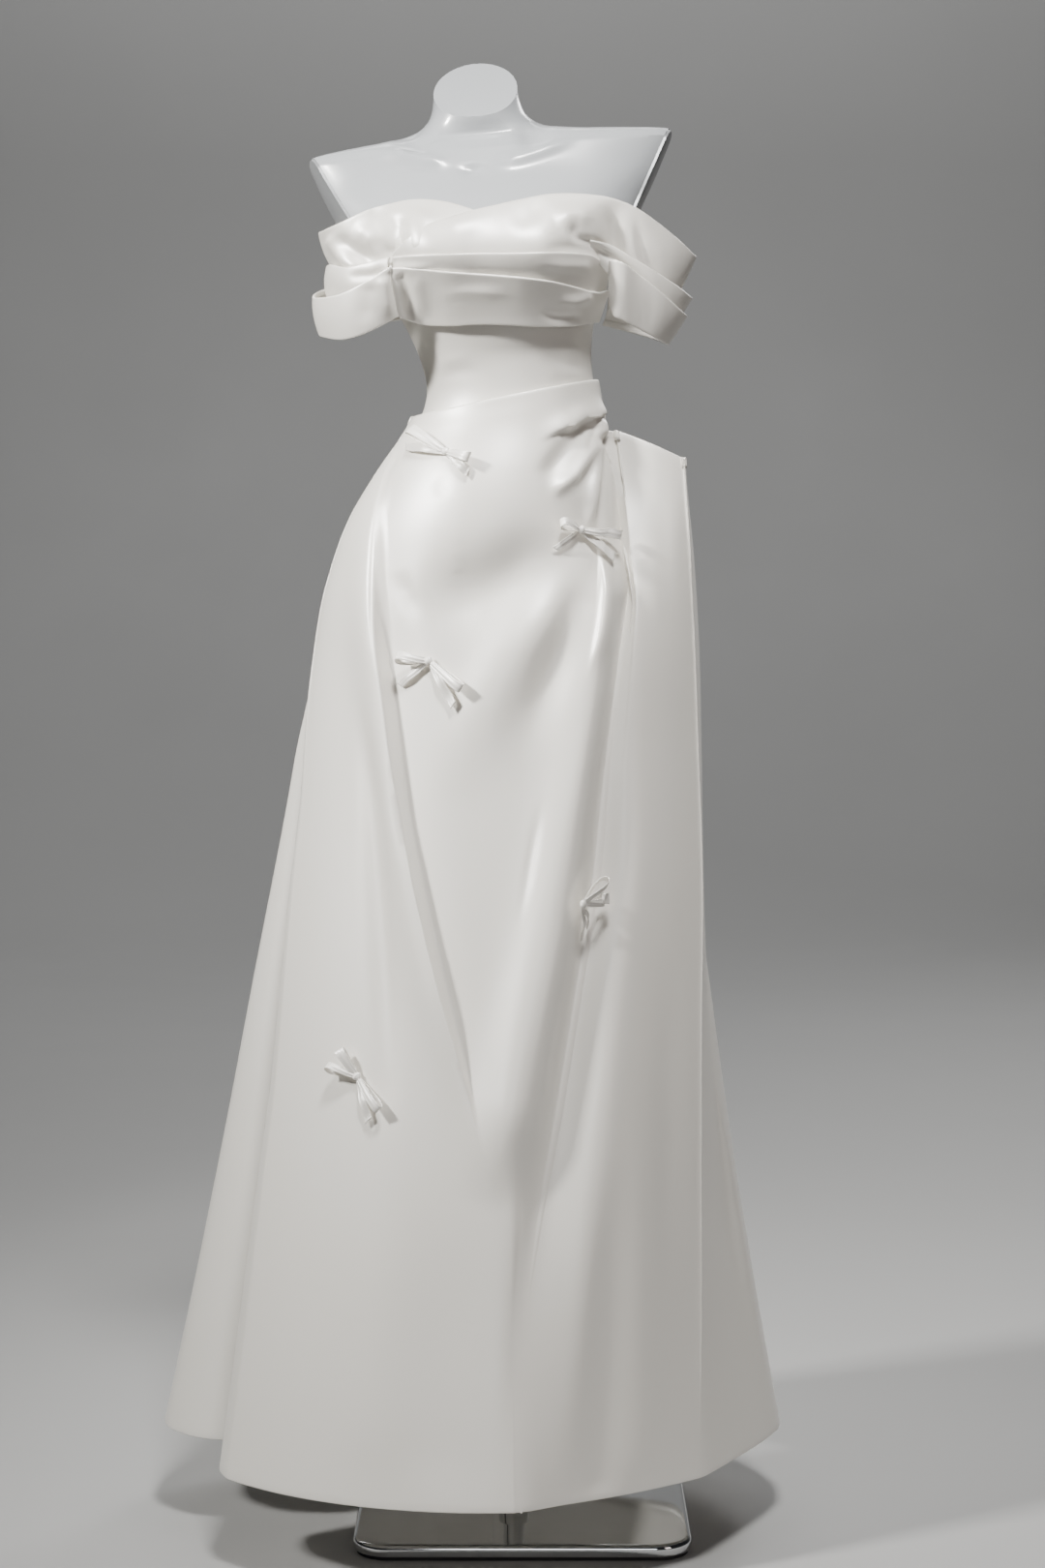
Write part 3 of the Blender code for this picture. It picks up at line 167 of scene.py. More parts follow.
def addObject(name, data, material, sharpAngle):
    data.materials.append(material)
    data.shade_smooth()
    data.set_sharp_from_angle(angle=math.radians(sharpAngle))
    obj = bpy.data.objects.new(name, data)
    bpy.context.scene.collection.objects.link(obj)
    return obj


def addMesh(name, mesh, material, sharpAngle=35):
    data = bpy.data.meshes.new(name)
    mesh.to_mesh(data)
    mesh.free()
    return addObject(name, data, material, sharpAngle)


# What stands for each CAD node
made = defaultdict(list)


# puts a piece on the root body in place of a CAD node, hides that node and records what stands for
# it
def standFor(obj, node):
    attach(obj, "root")
    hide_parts(node)
    made[node].append(obj)


# a sheet of the dress's satin
def addCloth(name, points, wall, satin, node=None):
    standFor(addSheet(name, points, wall, satin), node or name)


# a shader socket that takes part in sums
class Socket:
    def __init__(self, finish, output):
        self.finish = finish
        self.output = output

    def maths(self, operation, first, second):
        return self.finish.node("Math", {"operation": operation}, {0: first, 1: second})

    def __add__(self, other):
        return self.maths("ADD", self, other)

    def __radd__(self, other):
        return self.maths("ADD", other, self)

    def __sub__(self, other):
        return self.maths("SUBTRACT", self, other)

    def __rsub__(self, other):
        return self.maths("SUBTRACT", other, self)

    def __mul__(self, other):
        return self.maths("MULTIPLY", self, other)

    def __rmul__(self, other):
        return self.maths("MULTIPLY", other, self)


# one material and the nodes that make it
class Finish:
    def __init__(self, name, roughness, metallic=0.0):
        self.material = bpy.data.materials.new(name)
        self.material.use_nodes = True
        self.nodes = self.material.node_tree.nodes
        self.links = self.material.node_tree.links
        self.shader = self.nodes["Principled BSDF"]
        self.set("Roughness", roughness)
        self.set("Metallic", metallic)

    def node(self, kind, settings, inputs, output=0):
        node = self.nodes.new("ShaderNode" + kind)
        for name, value in settings.items():
            setattr(node, name, value)
        for name, value in inputs.items():
            self.feed(node.inputs[name], value)
        return Socket(self, node.outputs[output])

    def feed(self, socket, value):
        if isinstance(value, Socket):
            self.links.new(value.output, socket)
        else:
            socket.default_value = value

    def set(self, name, value):
        self.feed(self.shader.inputs[name], value)

    # the piece's own cloth, in metres across and along
    def cloth(self):
        return self.node("UVMap", {"uv_map": "cloth"}, {})

    def place(self):
        return self.node("TexCoord", {}, {}, "Object")

    def scaled(self, vector, scale):
        return self.node("VectorMath", {"operation": "MULTIPLY"}, {0: vector, 1: scale})

    def noise(self, vector, scale, detail=2.0, roughness=0.5):
        inputs = {"Vector": vector, "Scale": scale, "Detail": detail, "Roughness": roughness}
        return self.node("TexNoise", {}, inputs)

    def mixed(self, share, first, second):
        inputs = {0: share, 6: (*first, 1) if isinstance(first, tuple) else first}
        inputs[7] = (*second, 1) if isinstance(second, tuple) else second
        return self.node("Mix", {"data_type": "RGBA"}, inputs, 2)

    def bump(self, height, distance, under=None):
        inputs = {"Height": height, "Distance": distance, "Strength": 1.0}
        if under:
            inputs["Normal"] = under
        return self.node("Bump", {}, inputs)


satinLook = {
    "colour": (0.795, 0.768, 0.712),
    "shade": (0.755, 0.726, 0.668),
    "roughness": 0.42,
    "gloss": 1.0,
    "index": 1.85,
    "sheen": 0.08,
    "threads": 0.00035,
    "relief": 0.00005,
}

# the ribbons are the dress's satin with a lighter colour painted on, a painted highlight that sets
# the bows apart from the cloth round them
paintedLighterRibbonLook = {**satinLook, "colour": (0.885, 0.858, 0.805), "shade": (0.850, 0.822, 0.768)}


# heavy duchess satin: long floats along the cloth, faint slubs and a slightly uneven face
def makeSatin(name, look):
    finish = Finish(name, look["roughness"])
    cloth = finish.cloth()
    place = finish.place()
    tone = finish.noise(place, 5.0, 3.0)
    slubs = finish.noise(finish.scaled(cloth, (900.0, 40.0, 1.0)), 1.0, 2.0)
    threads = finish.noise(finish.scaled(cloth, (1 / look["threads"], 260.0, 1.0)), 1.0, 1.0)
    handle = finish.noise(place, 38.0, 2.0)
    colour = finish.mixed(tone, look["colour"], look["shade"])
    colour = finish.mixed(slubs * 0.25, colour, look["shade"])
    finish.set("Base Color", colour)
    finish.set("Roughness", look["roughness"] - 0.05 + 0.06 * tone + 0.04 * slubs)
    finish.set("Specular IOR Level", look["gloss"])
    finish.set("IOR", look["index"])
    finish.set("Sheen Weight", look["sheen"])
    finish.set("Sheen Roughness", 0.45)
    weave = finish.bump(threads * 0.6 + slubs * 0.4, 0.00003)
    finish.set("Normal", finish.bump(handle, look["relief"], weave))
    return finish.material


glossLook = {"colour": (0.40, 0.415, 0.43), "dusty": (0.36, 0.375, 0.39), "roughness": 0.30}


# white lacquer over glass fibre, with a slight orange peel and dull patches from handling
def makeGloss(name, look):
    finish = Finish(name, look["roughness"])
    place = finish.place()
    dust = finish.noise(place, 9.0, 4.0, 0.6)
    peel = finish.noise(place, 260.0, 1.0)
    dents = finish.noise(place, 14.0, 1.0)
    finish.set("Base Color", finish.mixed(dust, look["colour"], look["dusty"]))
    finish.set("Roughness", look["roughness"] - 0.04 + 0.10 * dust)
    finish.set("Coat Weight", 0.5)
    finish.set("Coat Roughness", 0.12)
    finish.set("Normal", finish.bump(dents, 0.0006, finish.bump(peel, 0.00002)))
    return finish.material


capLook = {"colour": (0.36, 0.37, 0.38), "worn": (0.31, 0.32, 0.33)}


def makeCapPaint(name, look):
    finish = Finish(name, 0.38, 0.4)
    place = finish.place()
    blotch = finish.noise(place, 30.0, 3.0)
    grain = finish.noise(finish.scaled(place, (1.0, 9.0, 9.0)), 120.0, 2.0)
    finish.set("Base Color", finish.mixed(blotch, look["colour"], look["worn"]))
    finish.set("Roughness", 0.34 + 0.12 * blotch)
    finish.set("Normal", finish.bump(grain, 0.00004))
    return finish.material


chromeLook = {"colour": (0.80, 0.81, 0.82), "dull": (0.70, 0.71, 0.72), "roughness": 0.05}


# polished chrome with a faint haze and hairline scuffs
def makeChrome(name, look):
    finish = Finish(name, look["roughness"], 1.0)
    place = finish.place()
    haze = finish.noise(place, 16.0, 4.0, 0.6)
    scuffs = finish.noise(finish.scaled(place, (30.0, 700.0, 700.0)), 1.0, 1.0)
    finish.set("Base Color", finish.mixed(haze, look["colour"], look["dull"]))
    finish.set("Roughness", look["roughness"] + 0.07 * haze * haze)
    finish.set("Normal", finish.bump(scuffs, 0.000006))
    return finish.material


rubberLook = {"colour": (0.018, 0.018, 0.019), "dusty": (0.045, 0.044, 0.042)}


def makeRubber(name, look):
    finish = Finish(name, 0.75)
    place = finish.place()
    dust = finish.noise(place, 24.0, 4.0, 0.6)
    grain = finish.noise(place, 1500.0, 1.0)
    finish.set("Base Color", finish.mixed(dust * dust, look["colour"], look["dusty"]))
    finish.set("Roughness", 0.68 + 0.2 * dust)
    finish.set("Normal", finish.bump(grain, 0.00008))
    return finish.material


floorLook = {"colour": (0.46, 0.46, 0.455), "shade": (0.42, 0.42, 0.415)}


def makeFloorPaint(name, look):
    finish = Finish(name, 0.6)
    place = finish.place()
    cloud = finish.noise(place, 1.3, 4.0)
    finish.set("Base Color", finish.mixed(cloud, look["colour"], look["shade"]))
    finish.set("Roughness", 0.5 + 0.2 * cloud)
    return finish.material


cameraLook = {
    "place": (0.0, -3.50, 1.134),
    "tiltDown": 4.465,
    "lens": 70.0,
    "sensor": 36.0,
}


def makeCamera(look):
    data = bpy.data.cameras.new("camera")
    data.lens = look["lens"]
    data.sensor_width = look["sensor"]
    camera = bpy.data.objects.new("camera", data)
    camera.location = look["place"]
    camera.rotation_euler = (math.radians(90 - look["tiltDown"]), 0, 0)
    bpy.context.scene.collection.objects.link(camera)
    bpy.context.scene.camera = camera


# Soft boxes: where each stands, what it is aimed at, its width and height, how far it spreads
# in degrees, its power and colour
Lamp = namedtuple("Lamp", "name place aim width height spread power colour")
lamps = [
    Lamp("keyLight", (-2.5, -1.45, 2.7), (0, -0.1, 1.22), 0.36, 0.36, 60, 25.0, (1, 0.985, 0.95)),
    Lamp("topLight", (0.2, -1.4, 3.4), (0, -0.1, 1.22), 0.45, 0.45, 60, 14.0, (1, 0.99, 0.97)),
    Lamp("frontLight", (0.1, -4.4, 1.5), (0, 0, 0.75), 0.9, 0.9, 180, 12.0, (0.97, 0.985, 1)),
    Lamp("rightLight", (2.3, -2.6, 1.7), (0, 0, 0.9), 1.0, 1.8, 180, 10.5, (1, 0.87, 0.82)),
    Lamp("backLight", (1.8, 3.4, 3.2), (0, 0, 1.0), 1.2, 1.2, 180, 60.0, (1, 1, 1)),
    Lamp("wallLight", (0, 4.6, 6.0), (0, 7.0, 1.5), 5.0, 1.5, 180, 170.0, (1, 1, 1)),
]
skyColour = (0.75, 0.77, 0.80)
skyStrength = 0.02


def makeLights():
    for lamp in lamps:
        data = bpy.data.lights.new(lamp.name, "AREA")
        data.shape = "RECTANGLE"
        data.size = lamp.width
        data.size_y = lamp.height
        data.spread = math.radians(lamp.spread)
        data.energy = lamp.power
        data.color = lamp.colour
        obj = bpy.data.objects.new(lamp.name, data)
        obj.location = lamp.place
        towards = Vector(lamp.aim) - Vector(lamp.place)
        obj.rotation_euler = towards.to_track_quat("-Z", "Y").to_euler()
        bpy.context.scene.collection.objects.link(obj)
    world = bpy.data.worlds.new("sky")
    world.use_nodes = True
    background = world.node_tree.nodes["Background"]
    background.inputs["Color"].default_value = (*skyColour, 1)
    background.inputs["Strength"].default_value = skyStrength
    bpy.context.scene.world = world


stageLook = {"width": 26.0, "front": -9.0, "back": 7.5, "bend": 2.5, "height": 9.0}


# the floor, swept up into a backdrop in one curve
def makeStage(look, material):
    profile = [(look["front"], 0.0), (look["back"] - look["bend"], 0.0)]
    for angle in np.linspace(0, math.pi / 2, 24)[1:]:
        y = look["back"] - look["bend"] + look["bend"] * math.sin(angle)
        profile.append((y, look["bend"] * (1 - math.cos(angle))))
    profile.append((look["back"], look["height"]))
    sides = (-look["width"] / 2, look["width"] / 2)
    points = np.array([[(x, y, z) for y, z in profile] for x in sides])
    floor = addSheet("floor", points, 0.001, material)
    floor.modifiers.clear()


# Folds as lines across the dress. rise is outwards, and start and end are the shares of its
# line over which a fold grows and dies. A lip falls off sharply on the left of someone walking
# along its line, over its drop, and leaves a hollow there
Fold = namedtuple("Fold", "kind rise width start end route drop")
lipHollow = 0.3


# the tables of folds and of the collar's stations are in millimetres
def inMetres(*lengths):
    return np.array(lengths) / 1000


def makeFold(kind, rise, width, start, end, *route, drop=0):
    return Fold(kind, *inMetres(rise, width), start, end, inMetres(*route), drop / 1000)


ridge, valley, lip = (partial(makeFold, kind) for kind in ("ridge", "valley", "lip"))


def foldRise(across, height, fold):
    route = spline(fold.route, [6] * (len(fold.route) - 1))
    lengths = np.hypot(*np.diff(route, axis=0).T)
    reached = np.concatenate([[0], np.cumsum(lengths)]) / lengths.sum()
    nearest = np.full(across.shape, np.inf)
    side = np.zeros(across.shape)
    place = np.zeros(across.shape)
    for i, (start, stop) in enumerate(zip(route[:-1], route[1:])):
        run = stop - start
        t = np.clip(
            ((across - start[0]) * run[0] + (height - start[1]) * run[1]) / run.dot(run), 0, 1
        )
        awayX, awayZ = across - start[0] - t * run[0], height - start[1] - t * run[1]
        away = np.hypot(awayX, awayZ)
        closer = away < nearest
        nearest = np.where(closer, away, nearest)
        side = np.where(closer, np.sign(run[0] * awayZ - run[1] * awayX), side)
        place = np.where(closer, reached[i] + t * (reached[i + 1] - reached[i]), place)
    strength = smoothStep(0, fold.start, place) * smoothStep(0, fold.end, 1 - place)
    if fold.kind == "lip":
        past = nearest * side
        fall = smoothStep(0, 1, past / fold.drop)
        high = np.exp(-((np.minimum(past, 0) / fold.width) ** 2)) * (1 - fall)
        low = lipHollow * np.exp(-(((past - fold.drop) / fold.width) ** 2)) * fall
        shape = high - low
    else:
        shape = np.exp(-((nearest / fold.width) ** 2)) * (1 if fold.kind == "ridge" else -1)
    return fold.rise * strength * shape


def foldSum(points, folds):
    return sum(foldRise(points[..., 0], points[..., 2], fold) for fold in folds)


# Horizontal sections of the form, from its lower end to the shoulders
FormSection = namedtuple("FormSection", "height centreX centreY halfWidth front back roll")
formSections = [
    FormSection(0.925, -0.020, 0.010, 0.120, 0.070, 0.085, 0.000),
    FormSection(0.950, -0.022, 0.010, 0.136, 0.084, 0.100, 0.000),
    FormSection(1.000, -0.028, 0.008, 0.146, 0.094, 0.112, 0.000),
    FormSection(1.080, -0.033, 0.004, 0.146, 0.100, 0.118, 0.000),
    FormSection(1.160, -0.032, -0.002, 0.134, 0.101, 0.108, 0.000),
    FormSection(1.230, -0.024, -0.007, 0.114, 0.090, 0.088, 0.000),
    FormSection(1.310, -0.0135, -0.009, 0.093, 0.076, 0.072, 0.000),
    FormSection(1.350, -0.020, -0.010, 0.096, 0.080, 0.074, 0.000),
    FormSection(1.380, -0.026, -0.011, 0.104, 0.087, 0.079, 0.000),
    FormSection(1.420, -0.033, -0.012, 0.121, 0.102, 0.087, 0.015),
    FormSection(1.455, -0.037, -0.012, 0.140, 0.114, 0.092, 0.030),
    FormSection(1.490, -0.040, -0.008, 0.166, 0.106, 0.094, 0.045),
    FormSection(1.520, -0.040, 0.000, 0.184, 0.090, 0.090, 0.060),
    FormSection(1.550, -0.037, 0.008, 0.203, 0.073, 0.079, 0.075),
    FormSection(1.580, -0.035, 0.012, 0.216, 0.058, 0.068, 0.084),
]
# Rings over the shoulders and up the neck
neckSections = [
    formSections[-1],
    FormSection(1.589, -0.036, 0.013, 0.206, 0.050, 0.060, 0.083),
    FormSection(1.594, -0.039, 0.014, 0.170, 0.045, 0.055, 0.080),
    FormSection(1.598, -0.044, 0.015, 0.120, 0.044, 0.054, 0.075),
    FormSection(1.604, -0.048, 0.016, 0.080, 0.046, 0.055, 0.070),
    FormSection(1.614, -0.050, 0.016, 0.060, 0.048, 0.055, 0.060),
    FormSection(1.630, -0.052, 0.015, 0.0505, 0.048, 0.051, 0.050),
    FormSection(1.660, -0.054, 0.013, 0.0470, 0.047, 0.048, 0.050),
    FormSection(1.710, -0.056, 0.010, 0.0460, 0.046, 0.047, 0.050),
]

# Bust cups of the form: where they stand out, and how far
cupOffset = 0.064
cupHeight = 1.455
cupRadius = 0.042
cupRise = 0.011


# point of the form's section at an angle from the front, moved outwards by lift
def formPlan(section, turn, lift=0.0):
    side = section.halfWidth + lift
    deep = np.where(np.cos(turn) > 0, section.front, section.back) + lift
    x = section.centreX + side * np.sin(turn)
    y = section.centreY - deep * np.cos(turn)
    height = section.height + section.roll * (x - section.centreX)
    return x, y, height


# how far the two cups stand forward of the plain section
def cupBulge(x, height, centreX, facing):
    rise = 0
    for side in (-1, 1):
        away = ((x - centreX - side * cupOffset) ** 2 + (height - cupHeight) ** 2) / cupRadius**2
        rise = rise + cupRise * np.exp(-away)
    return rise * smoothStep(0.0, 0.5, facing)


# points round the form at a height below the shoulders
def formSurface(turn, height, lift=0.0):
    turn, height = np.broadcast_arrays(np.asarray(turn, float), np.asarray(height, float))
    section = along(formSections, height)
    x, y, z = formPlan(section._replace(height=height), turn, lift)
    y = y - cupBulge(x, z, section.centreX, np.cos(turn))
    return np.stack([x, y, z], -1)


# point of the form's front, or back, at x and height, moved outwards by lift
def bodyPoint(x, height, lift, back=False):
    x, height, lift = (np.asarray(value, float) for value in (x, height, lift))
    section = along(formSections, height)
    level = height - section.roll * (x - section.centreX)
    section = along(formSections, level)
    side = np.clip((x - section.centreX) / (section.halfWidth + lift), -0.97, 0.97)
    turn = np.arcsin(side)
    if back:
        turn = math.pi - turn
    deep = (section.back if back else section.front) + lift
    y = section.centreY - deep * np.cos(turn)
    y = y - cupBulge(x, height, section.centreX, np.cos(turn))
    return np.stack([x, y, height], -1)


# The dress form

# Planes that cut the neck and the two shoulders, each a point and an outward direction
armpitHeight = 1.405  # the cuts leave what is under it alone
neckCut = ((-0.055, 0.013, 1.650), (-0.080, -0.62, 0.78))
leftArmCut = ((-0.233, 0.0, 1.564), (-0.909, -0.20, -0.417))
rightArmCut = ((0.162, 0.0, 1.597), (0.914, -0.10, -0.372))
torsoLook = {"columns": 192, "rows": 230, "neckSteps": 9}
armCapLook = {"depth": 0.003, "scale": 0.975, "bevel": 0.002, "crown": 0.0008}

# Collarbones, the hollows over them and the muscles of the neck
torsoFolds = [
    ridge(5, 7.5, 0.25, 0.4, (-33, 1557), (0, 1566), (32, 1579), (62, 1589)),
    ridge(5, 7.5, 0.25, 0.4, (-78, 1557), (-104, 1563), (-140, 1571), (-172, 1574)),
    valley(6, 15, 0.4, 0.5, (-10, 1585), (14, 1594), (40, 1606)),
    valley(6, 15, 0.4, 0.5, (-96, 1582), (-120, 1588), (-150, 1594)),
    valley(4.5, 11, 0.3, 0.6, (-55.5, 1560), (-55.5, 1540)),
]


def cutFlat(mesh, point, direction):
    faces = [face for face in mesh.faces if all(vert.co.z > armpitHeight for vert in face.verts)]
    edges = dict.fromkeys(edge for face in faces for edge in face.edges)
    verts = dict.fromkeys(vert for face in faces for vert in face.verts)
    bmesh.ops.bisect_plane(
        mesh,
        geom=[*verts, *edges, *faces],
        dist=hair,
        plane_co=Vector(point),
        plane_no=Vector(direction).normalized(),
        clear_outer=True,
    )
    rim = [edge for edge in mesh.edges if edge.is_boundary]
    filled = bmesh.ops.holes_fill(mesh, edges=rim, sides=0)["faces"]
    bmesh.ops.recalc_face_normals(mesh, faces=mesh.faces[:])
    return max(filled, key=lambda face: face.calc_area())


# the grey plate let in over the flat cut of a shoulder
def makeArmCap(name, face, material):
    look = armCapLook
    normal = face.normal.copy()
    middle = face.calc_center_median()
    mesh = bmesh.new()
    plate = mesh.faces.new(
        [mesh.verts.new(middle + (vert.co - middle) * look["scale"]) for vert in face.verts]
    )
    grown = bmesh.ops.extrude_face_region(mesh, geom=[plate])["geom"]
    raised = [part for part in grown if isinstance(part, bmesh.types.BMVert)]
    bmesh.ops.translate(mesh, verts=raised, vec=normal * look["depth"])
    top = [part for part in grown if isinstance(part, bmesh.types.BMFace)]
    bmesh.ops.recalc_face_normals(mesh, faces=mesh.faces[:])
    bmesh.ops.inset_region(mesh, faces=top, thickness=look["bevel"], depth=0.0)
    crown = list(dict.fromkeys(vert for face in top for vert in face.verts))
    bmesh.ops.translate(mesh, verts=crown, vec=normal * look["crown"])
    standFor(addMesh(name, mesh, material), name)


def makeTorso(gloss, capPaint):
    look = torsoLook
    turns = np.linspace(-math.pi, math.pi, look["columns"] + 1)
    heights = np.linspace(formSections[0].height, formSections[-1].height, look["rows"])
    lower = formSurface(turns[:, None], heights[None, :])
    rings = spline(np.array(neckSections, float), [look["neckSteps"]] * (len(neckSections) - 1))
    upper = [np.stack(formPlan(FormSection(*ring), turns), -1) for ring in rings[1:]]
    points = np.concatenate([lower, np.stack(upper, 1)], 1)
    rise = foldSum(points, torsoFolds)
    points = moved(points, rise * smoothStep(0.0, 0.4, np.cos(turns))[:, None])
    points[-1] = points[0]
    columns, rows = points.shape[:2]
    mesh = bmesh.new()
    bmesh.ops.create_grid(mesh, x_segments=columns - 1, y_segments=rows - 1, size=1)
    for vert in mesh.verts:
        column = round((vert.co.x + 1) / 2 * (columns - 1))
        row = round((vert.co.y + 1) / 2 * (rows - 1))
        vert.co = points[column, row]
    bmesh.ops.remove_doubles(mesh, verts=mesh.verts[:], dist=weld)
    ends = [edge for edge in mesh.edges if edge.is_boundary]
    bmesh.ops.holes_fill(mesh, edges=ends, sides=0)
    bmesh.ops.recalc_face_normals(mesh, faces=mesh.faces[:])
    cutFlat(mesh, *neckCut)
    for name, cut in (("arm_cap_left", leftArmCut), ("arm_cap_right", rightArmCut)):
        makeArmCap(name, cutFlat(mesh, *cut), capPaint)
    standFor(addMesh("form_torso", mesh, gloss, 30), "form_torso")


# The stand

baseLook = {
    "width": 0.384,
    "depth": 0.330,
    "corner": 0.042,
    "bottom": 0.0043,
    "top": 0.0188,
    "rounding": 0.0065,
}
padLook = {
    "width": 0.376,
    "depth": 0.322,
    "corner": 0.038,
    "bottom": 0.0,
    "top": 0.004,
    "rounding": 0.0,
}
poleX = -0.010
poleRadius = 0.0125
poleBore = 0.0112
footHeight = 0.0191
poleTop = 0.9247
# Turned parts of the stand: radius and height down their outside
socketProfile = [
    (0.0128, 0.030), (0.0168, 0.030), (0.0175, 0.0295), (0.0179, 0.0285), (0.0186, 0.012),
    (0.0198, 0.0085), (0.0225, 0.0062), (0.0290, 0.0050), (0.0311, 0.0042), (0.0320, 0.0030),
    (0.0320, 0.0), (0.0128, 0.0),
]
fittingProfile = [
    (0.0128, 0.0), (0.0212, 0.0), (0.0220, -0.0008), (0.0220, -0.0410), (0.0214, -0.0428),
    (0.0200, -0.0444), (0.0180, -0.0450), (0.0128, -0.0450),
]


def makeSlab(name, look, material):
    mesh = bmesh.new()
    bmesh.ops.create_cube(mesh, size=1)
    top, bottom = look["top"], look["bottom"]
    bmesh.ops.scale(mesh, verts=mesh.verts[:], vec=(look["width"], look["depth"], top - bottom))
    bmesh.ops.translate(mesh, verts=mesh.verts[:], vec=(0, 0, (top + bottom) / 2))
    upright = [e for e in mesh.edges if abs(e.verts[0].co.z - e.verts[1].co.z) > 0.001]
    bevelEdges(mesh, upright, look["corner"], 20)
    if look["rounding"]:
        upper = [e for e in mesh.edges if all(v.co.z > top - hair for v in e.verts)]
        bevelEdges(mesh, upper, look["rounding"], 8)
        lower = [e for e in mesh.edges if all(v.co.z < bottom + hair for v in e.verts)]
        bevelEdges(mesh, lower, 0.0025, 4)
    standFor(addMesh(name, mesh, material, 30), name)


def bevelEdges(mesh, edges, offset, segments):
    bmesh.ops.bevel(
        mesh,
        geom=edges,
        offset=offset,
        segments=segments,
        profile=0.5,
        affect="EDGES",
        material=-1,
    )


def makeTurned(name, profile, lift, material):
    mesh = bmesh.new()
    verts = [mesh.verts.new((poleX + radius, 0, lift + height)) for radius, height in profile]
    edges = [mesh.edges.new(pair) for pair in zip(verts, verts[1:] + verts[:1])]
    bmesh.ops.spin(
        mesh,
        geom=[*verts, *edges],
        cent=(poleX, 0, 0),
        axis=(0, 0, 1),
        angle=math.tau,
        steps=turnedSteps,
        use_merge=True,
        use_duplicate=False,
    )
    bmesh.ops.remove_doubles(mesh, verts=mesh.verts[:], dist=weld)
    bmesh.ops.recalc_face_normals(mesh, faces=mesh.faces[:])
    standFor(addMesh(name, mesh, material, 30), name)


def makeStand(chrome, rubber):
    makeSlab("base_plate", baseLook, chrome)
    makeSlab("base_pad", padLook, rubber)
    makeTurned("pole_socket", socketProfile, footHeight, chrome)
    makeTurned("form_fitting", fittingProfile, poleTop, chrome)
    outside = [(poleRadius, poleTop), (poleRadius, footHeight)]
    inside = [(poleBore, footHeight), (poleBore, poleTop - 0.001)]
    makeTurned("pole", outside + inside, 0.0, chrome)


# The bodice

bodiceLook = {
    "bottom": 1.262,
    "topFront": 1.478,
    "topBack": 1.470,
    "topArm": 1.404,
    "clearance": 0.0010,
    "eased": 0.0022,
    "wall": 0.0012,
    "margin": 0.0015,
    "rows": 80,
    "easedOver": (1.395, 1.430),
    "topFalls": (0.25, 0.85),
    "seamDip": 0.0009,
    "seamWidth": 0.0016,
    "aroundPerTurn": 0.09,
}
bodiceFolds = [
    valley(1.2, 8, 0.3, 0.5, (75, 1330), (45, 1338), (15, 1341)),
    valley(1, 6, 0.3, 0.6, (76, 1312), (52, 1318), (30, 1320)),
    valley(1, 7, 0.3, 0.5, (-98, 1322), (-70, 1328), (-40, 1326)),
    ridge(0.8, 6, 0.3, 0.5, (-96, 1336), (-70, 1342), (-46, 1342)),
]


def bodiceTop(turn, look):
    facing = np.cos(turn)
    high = np.where(facing > 0, look["topFront"], look["topBack"])
    return look["topArm"] + (high - look["topArm"]) * smoothStep(*look["topFalls"], np.abs(facing))


def makeBodice(satin):
    look = bodiceLook
    margin = look["margin"]
    pieces = (
        ("bodice_front", -math.pi / 2 + margin, math.pi / 2 - margin, 110),
        ("bodice_back_right", math.pi / 2 + margin, math.pi - margin, 60),
        ("bodice_back_left", -math.pi + margin, -math.pi / 2 - margin, 60),
    )
    for name, start, end, columns in pieces:
        turns = np.linspace(start, end, columns)[:, None]
        partWay = np.linspace(0, 1, look["rows"])[None, :]
        heights = look["bottom"] + (bodiceTop(turns, look) - look["bottom"]) * partWay
        lift = look["clearance"] + look["eased"] * smoothStep(*look["easedOver"], heights)
        points = formSurface(turns, heights, lift + look["wall"])
        fromSeam = np.minimum(turns - start, end - turns) * look["aroundPerTurn"]
        rise = foldSum(points, bodiceFolds)
        rise = rise - look["seamDip"] * np.exp(-((fromSeam / look["seamWidth"]) ** 2))
        addCloth(name, moved(points, rise), look["wall"], satin)


# Rings of the skirt: how far it reaches each way at each height
SkirtSection = namedtuple("SkirtSection", "height left right front back centreX centreY")
skirtSections = [
    SkirtSection(0.105, -0.425, 0.300, -0.313, 0.305, -0.040, 0.050),
    SkirtSection(0.280, -0.386, 0.268, -0.277, 0.276, -0.038, 0.040),
    SkirtSection(0.460, -0.348, 0.238, -0.242, 0.246, -0.035, 0.031),
    SkirtSection(0.640, -0.312, 0.212, -0.206, 0.216, -0.032, 0.022),
    SkirtSection(0.820, -0.275, 0.184, -0.172, 0.186, -0.029, 0.012),
    SkirtSection(1.000, -0.241, 0.146, -0.144, 0.157, -0.027, 0.003),
    SkirtSection(1.094, -0.221, 0.127, -0.133, 0.143, -0.027, -0.001),
    SkirtSection(1.160, -0.197, 0.116, -0.123, 0.126, -0.026, -0.004),
    SkirtSection(1.220, -0.162, 0.106, -0.110, 0.103, -0.021, -0.007),
    SkirtSection(1.270, -0.129, 0.095, -0.096, 0.083, -0.016, -0.009),
    SkirtSection(1.325, -0.110, 0.085, -0.088, 0.073, -0.0135, -0.009),
]

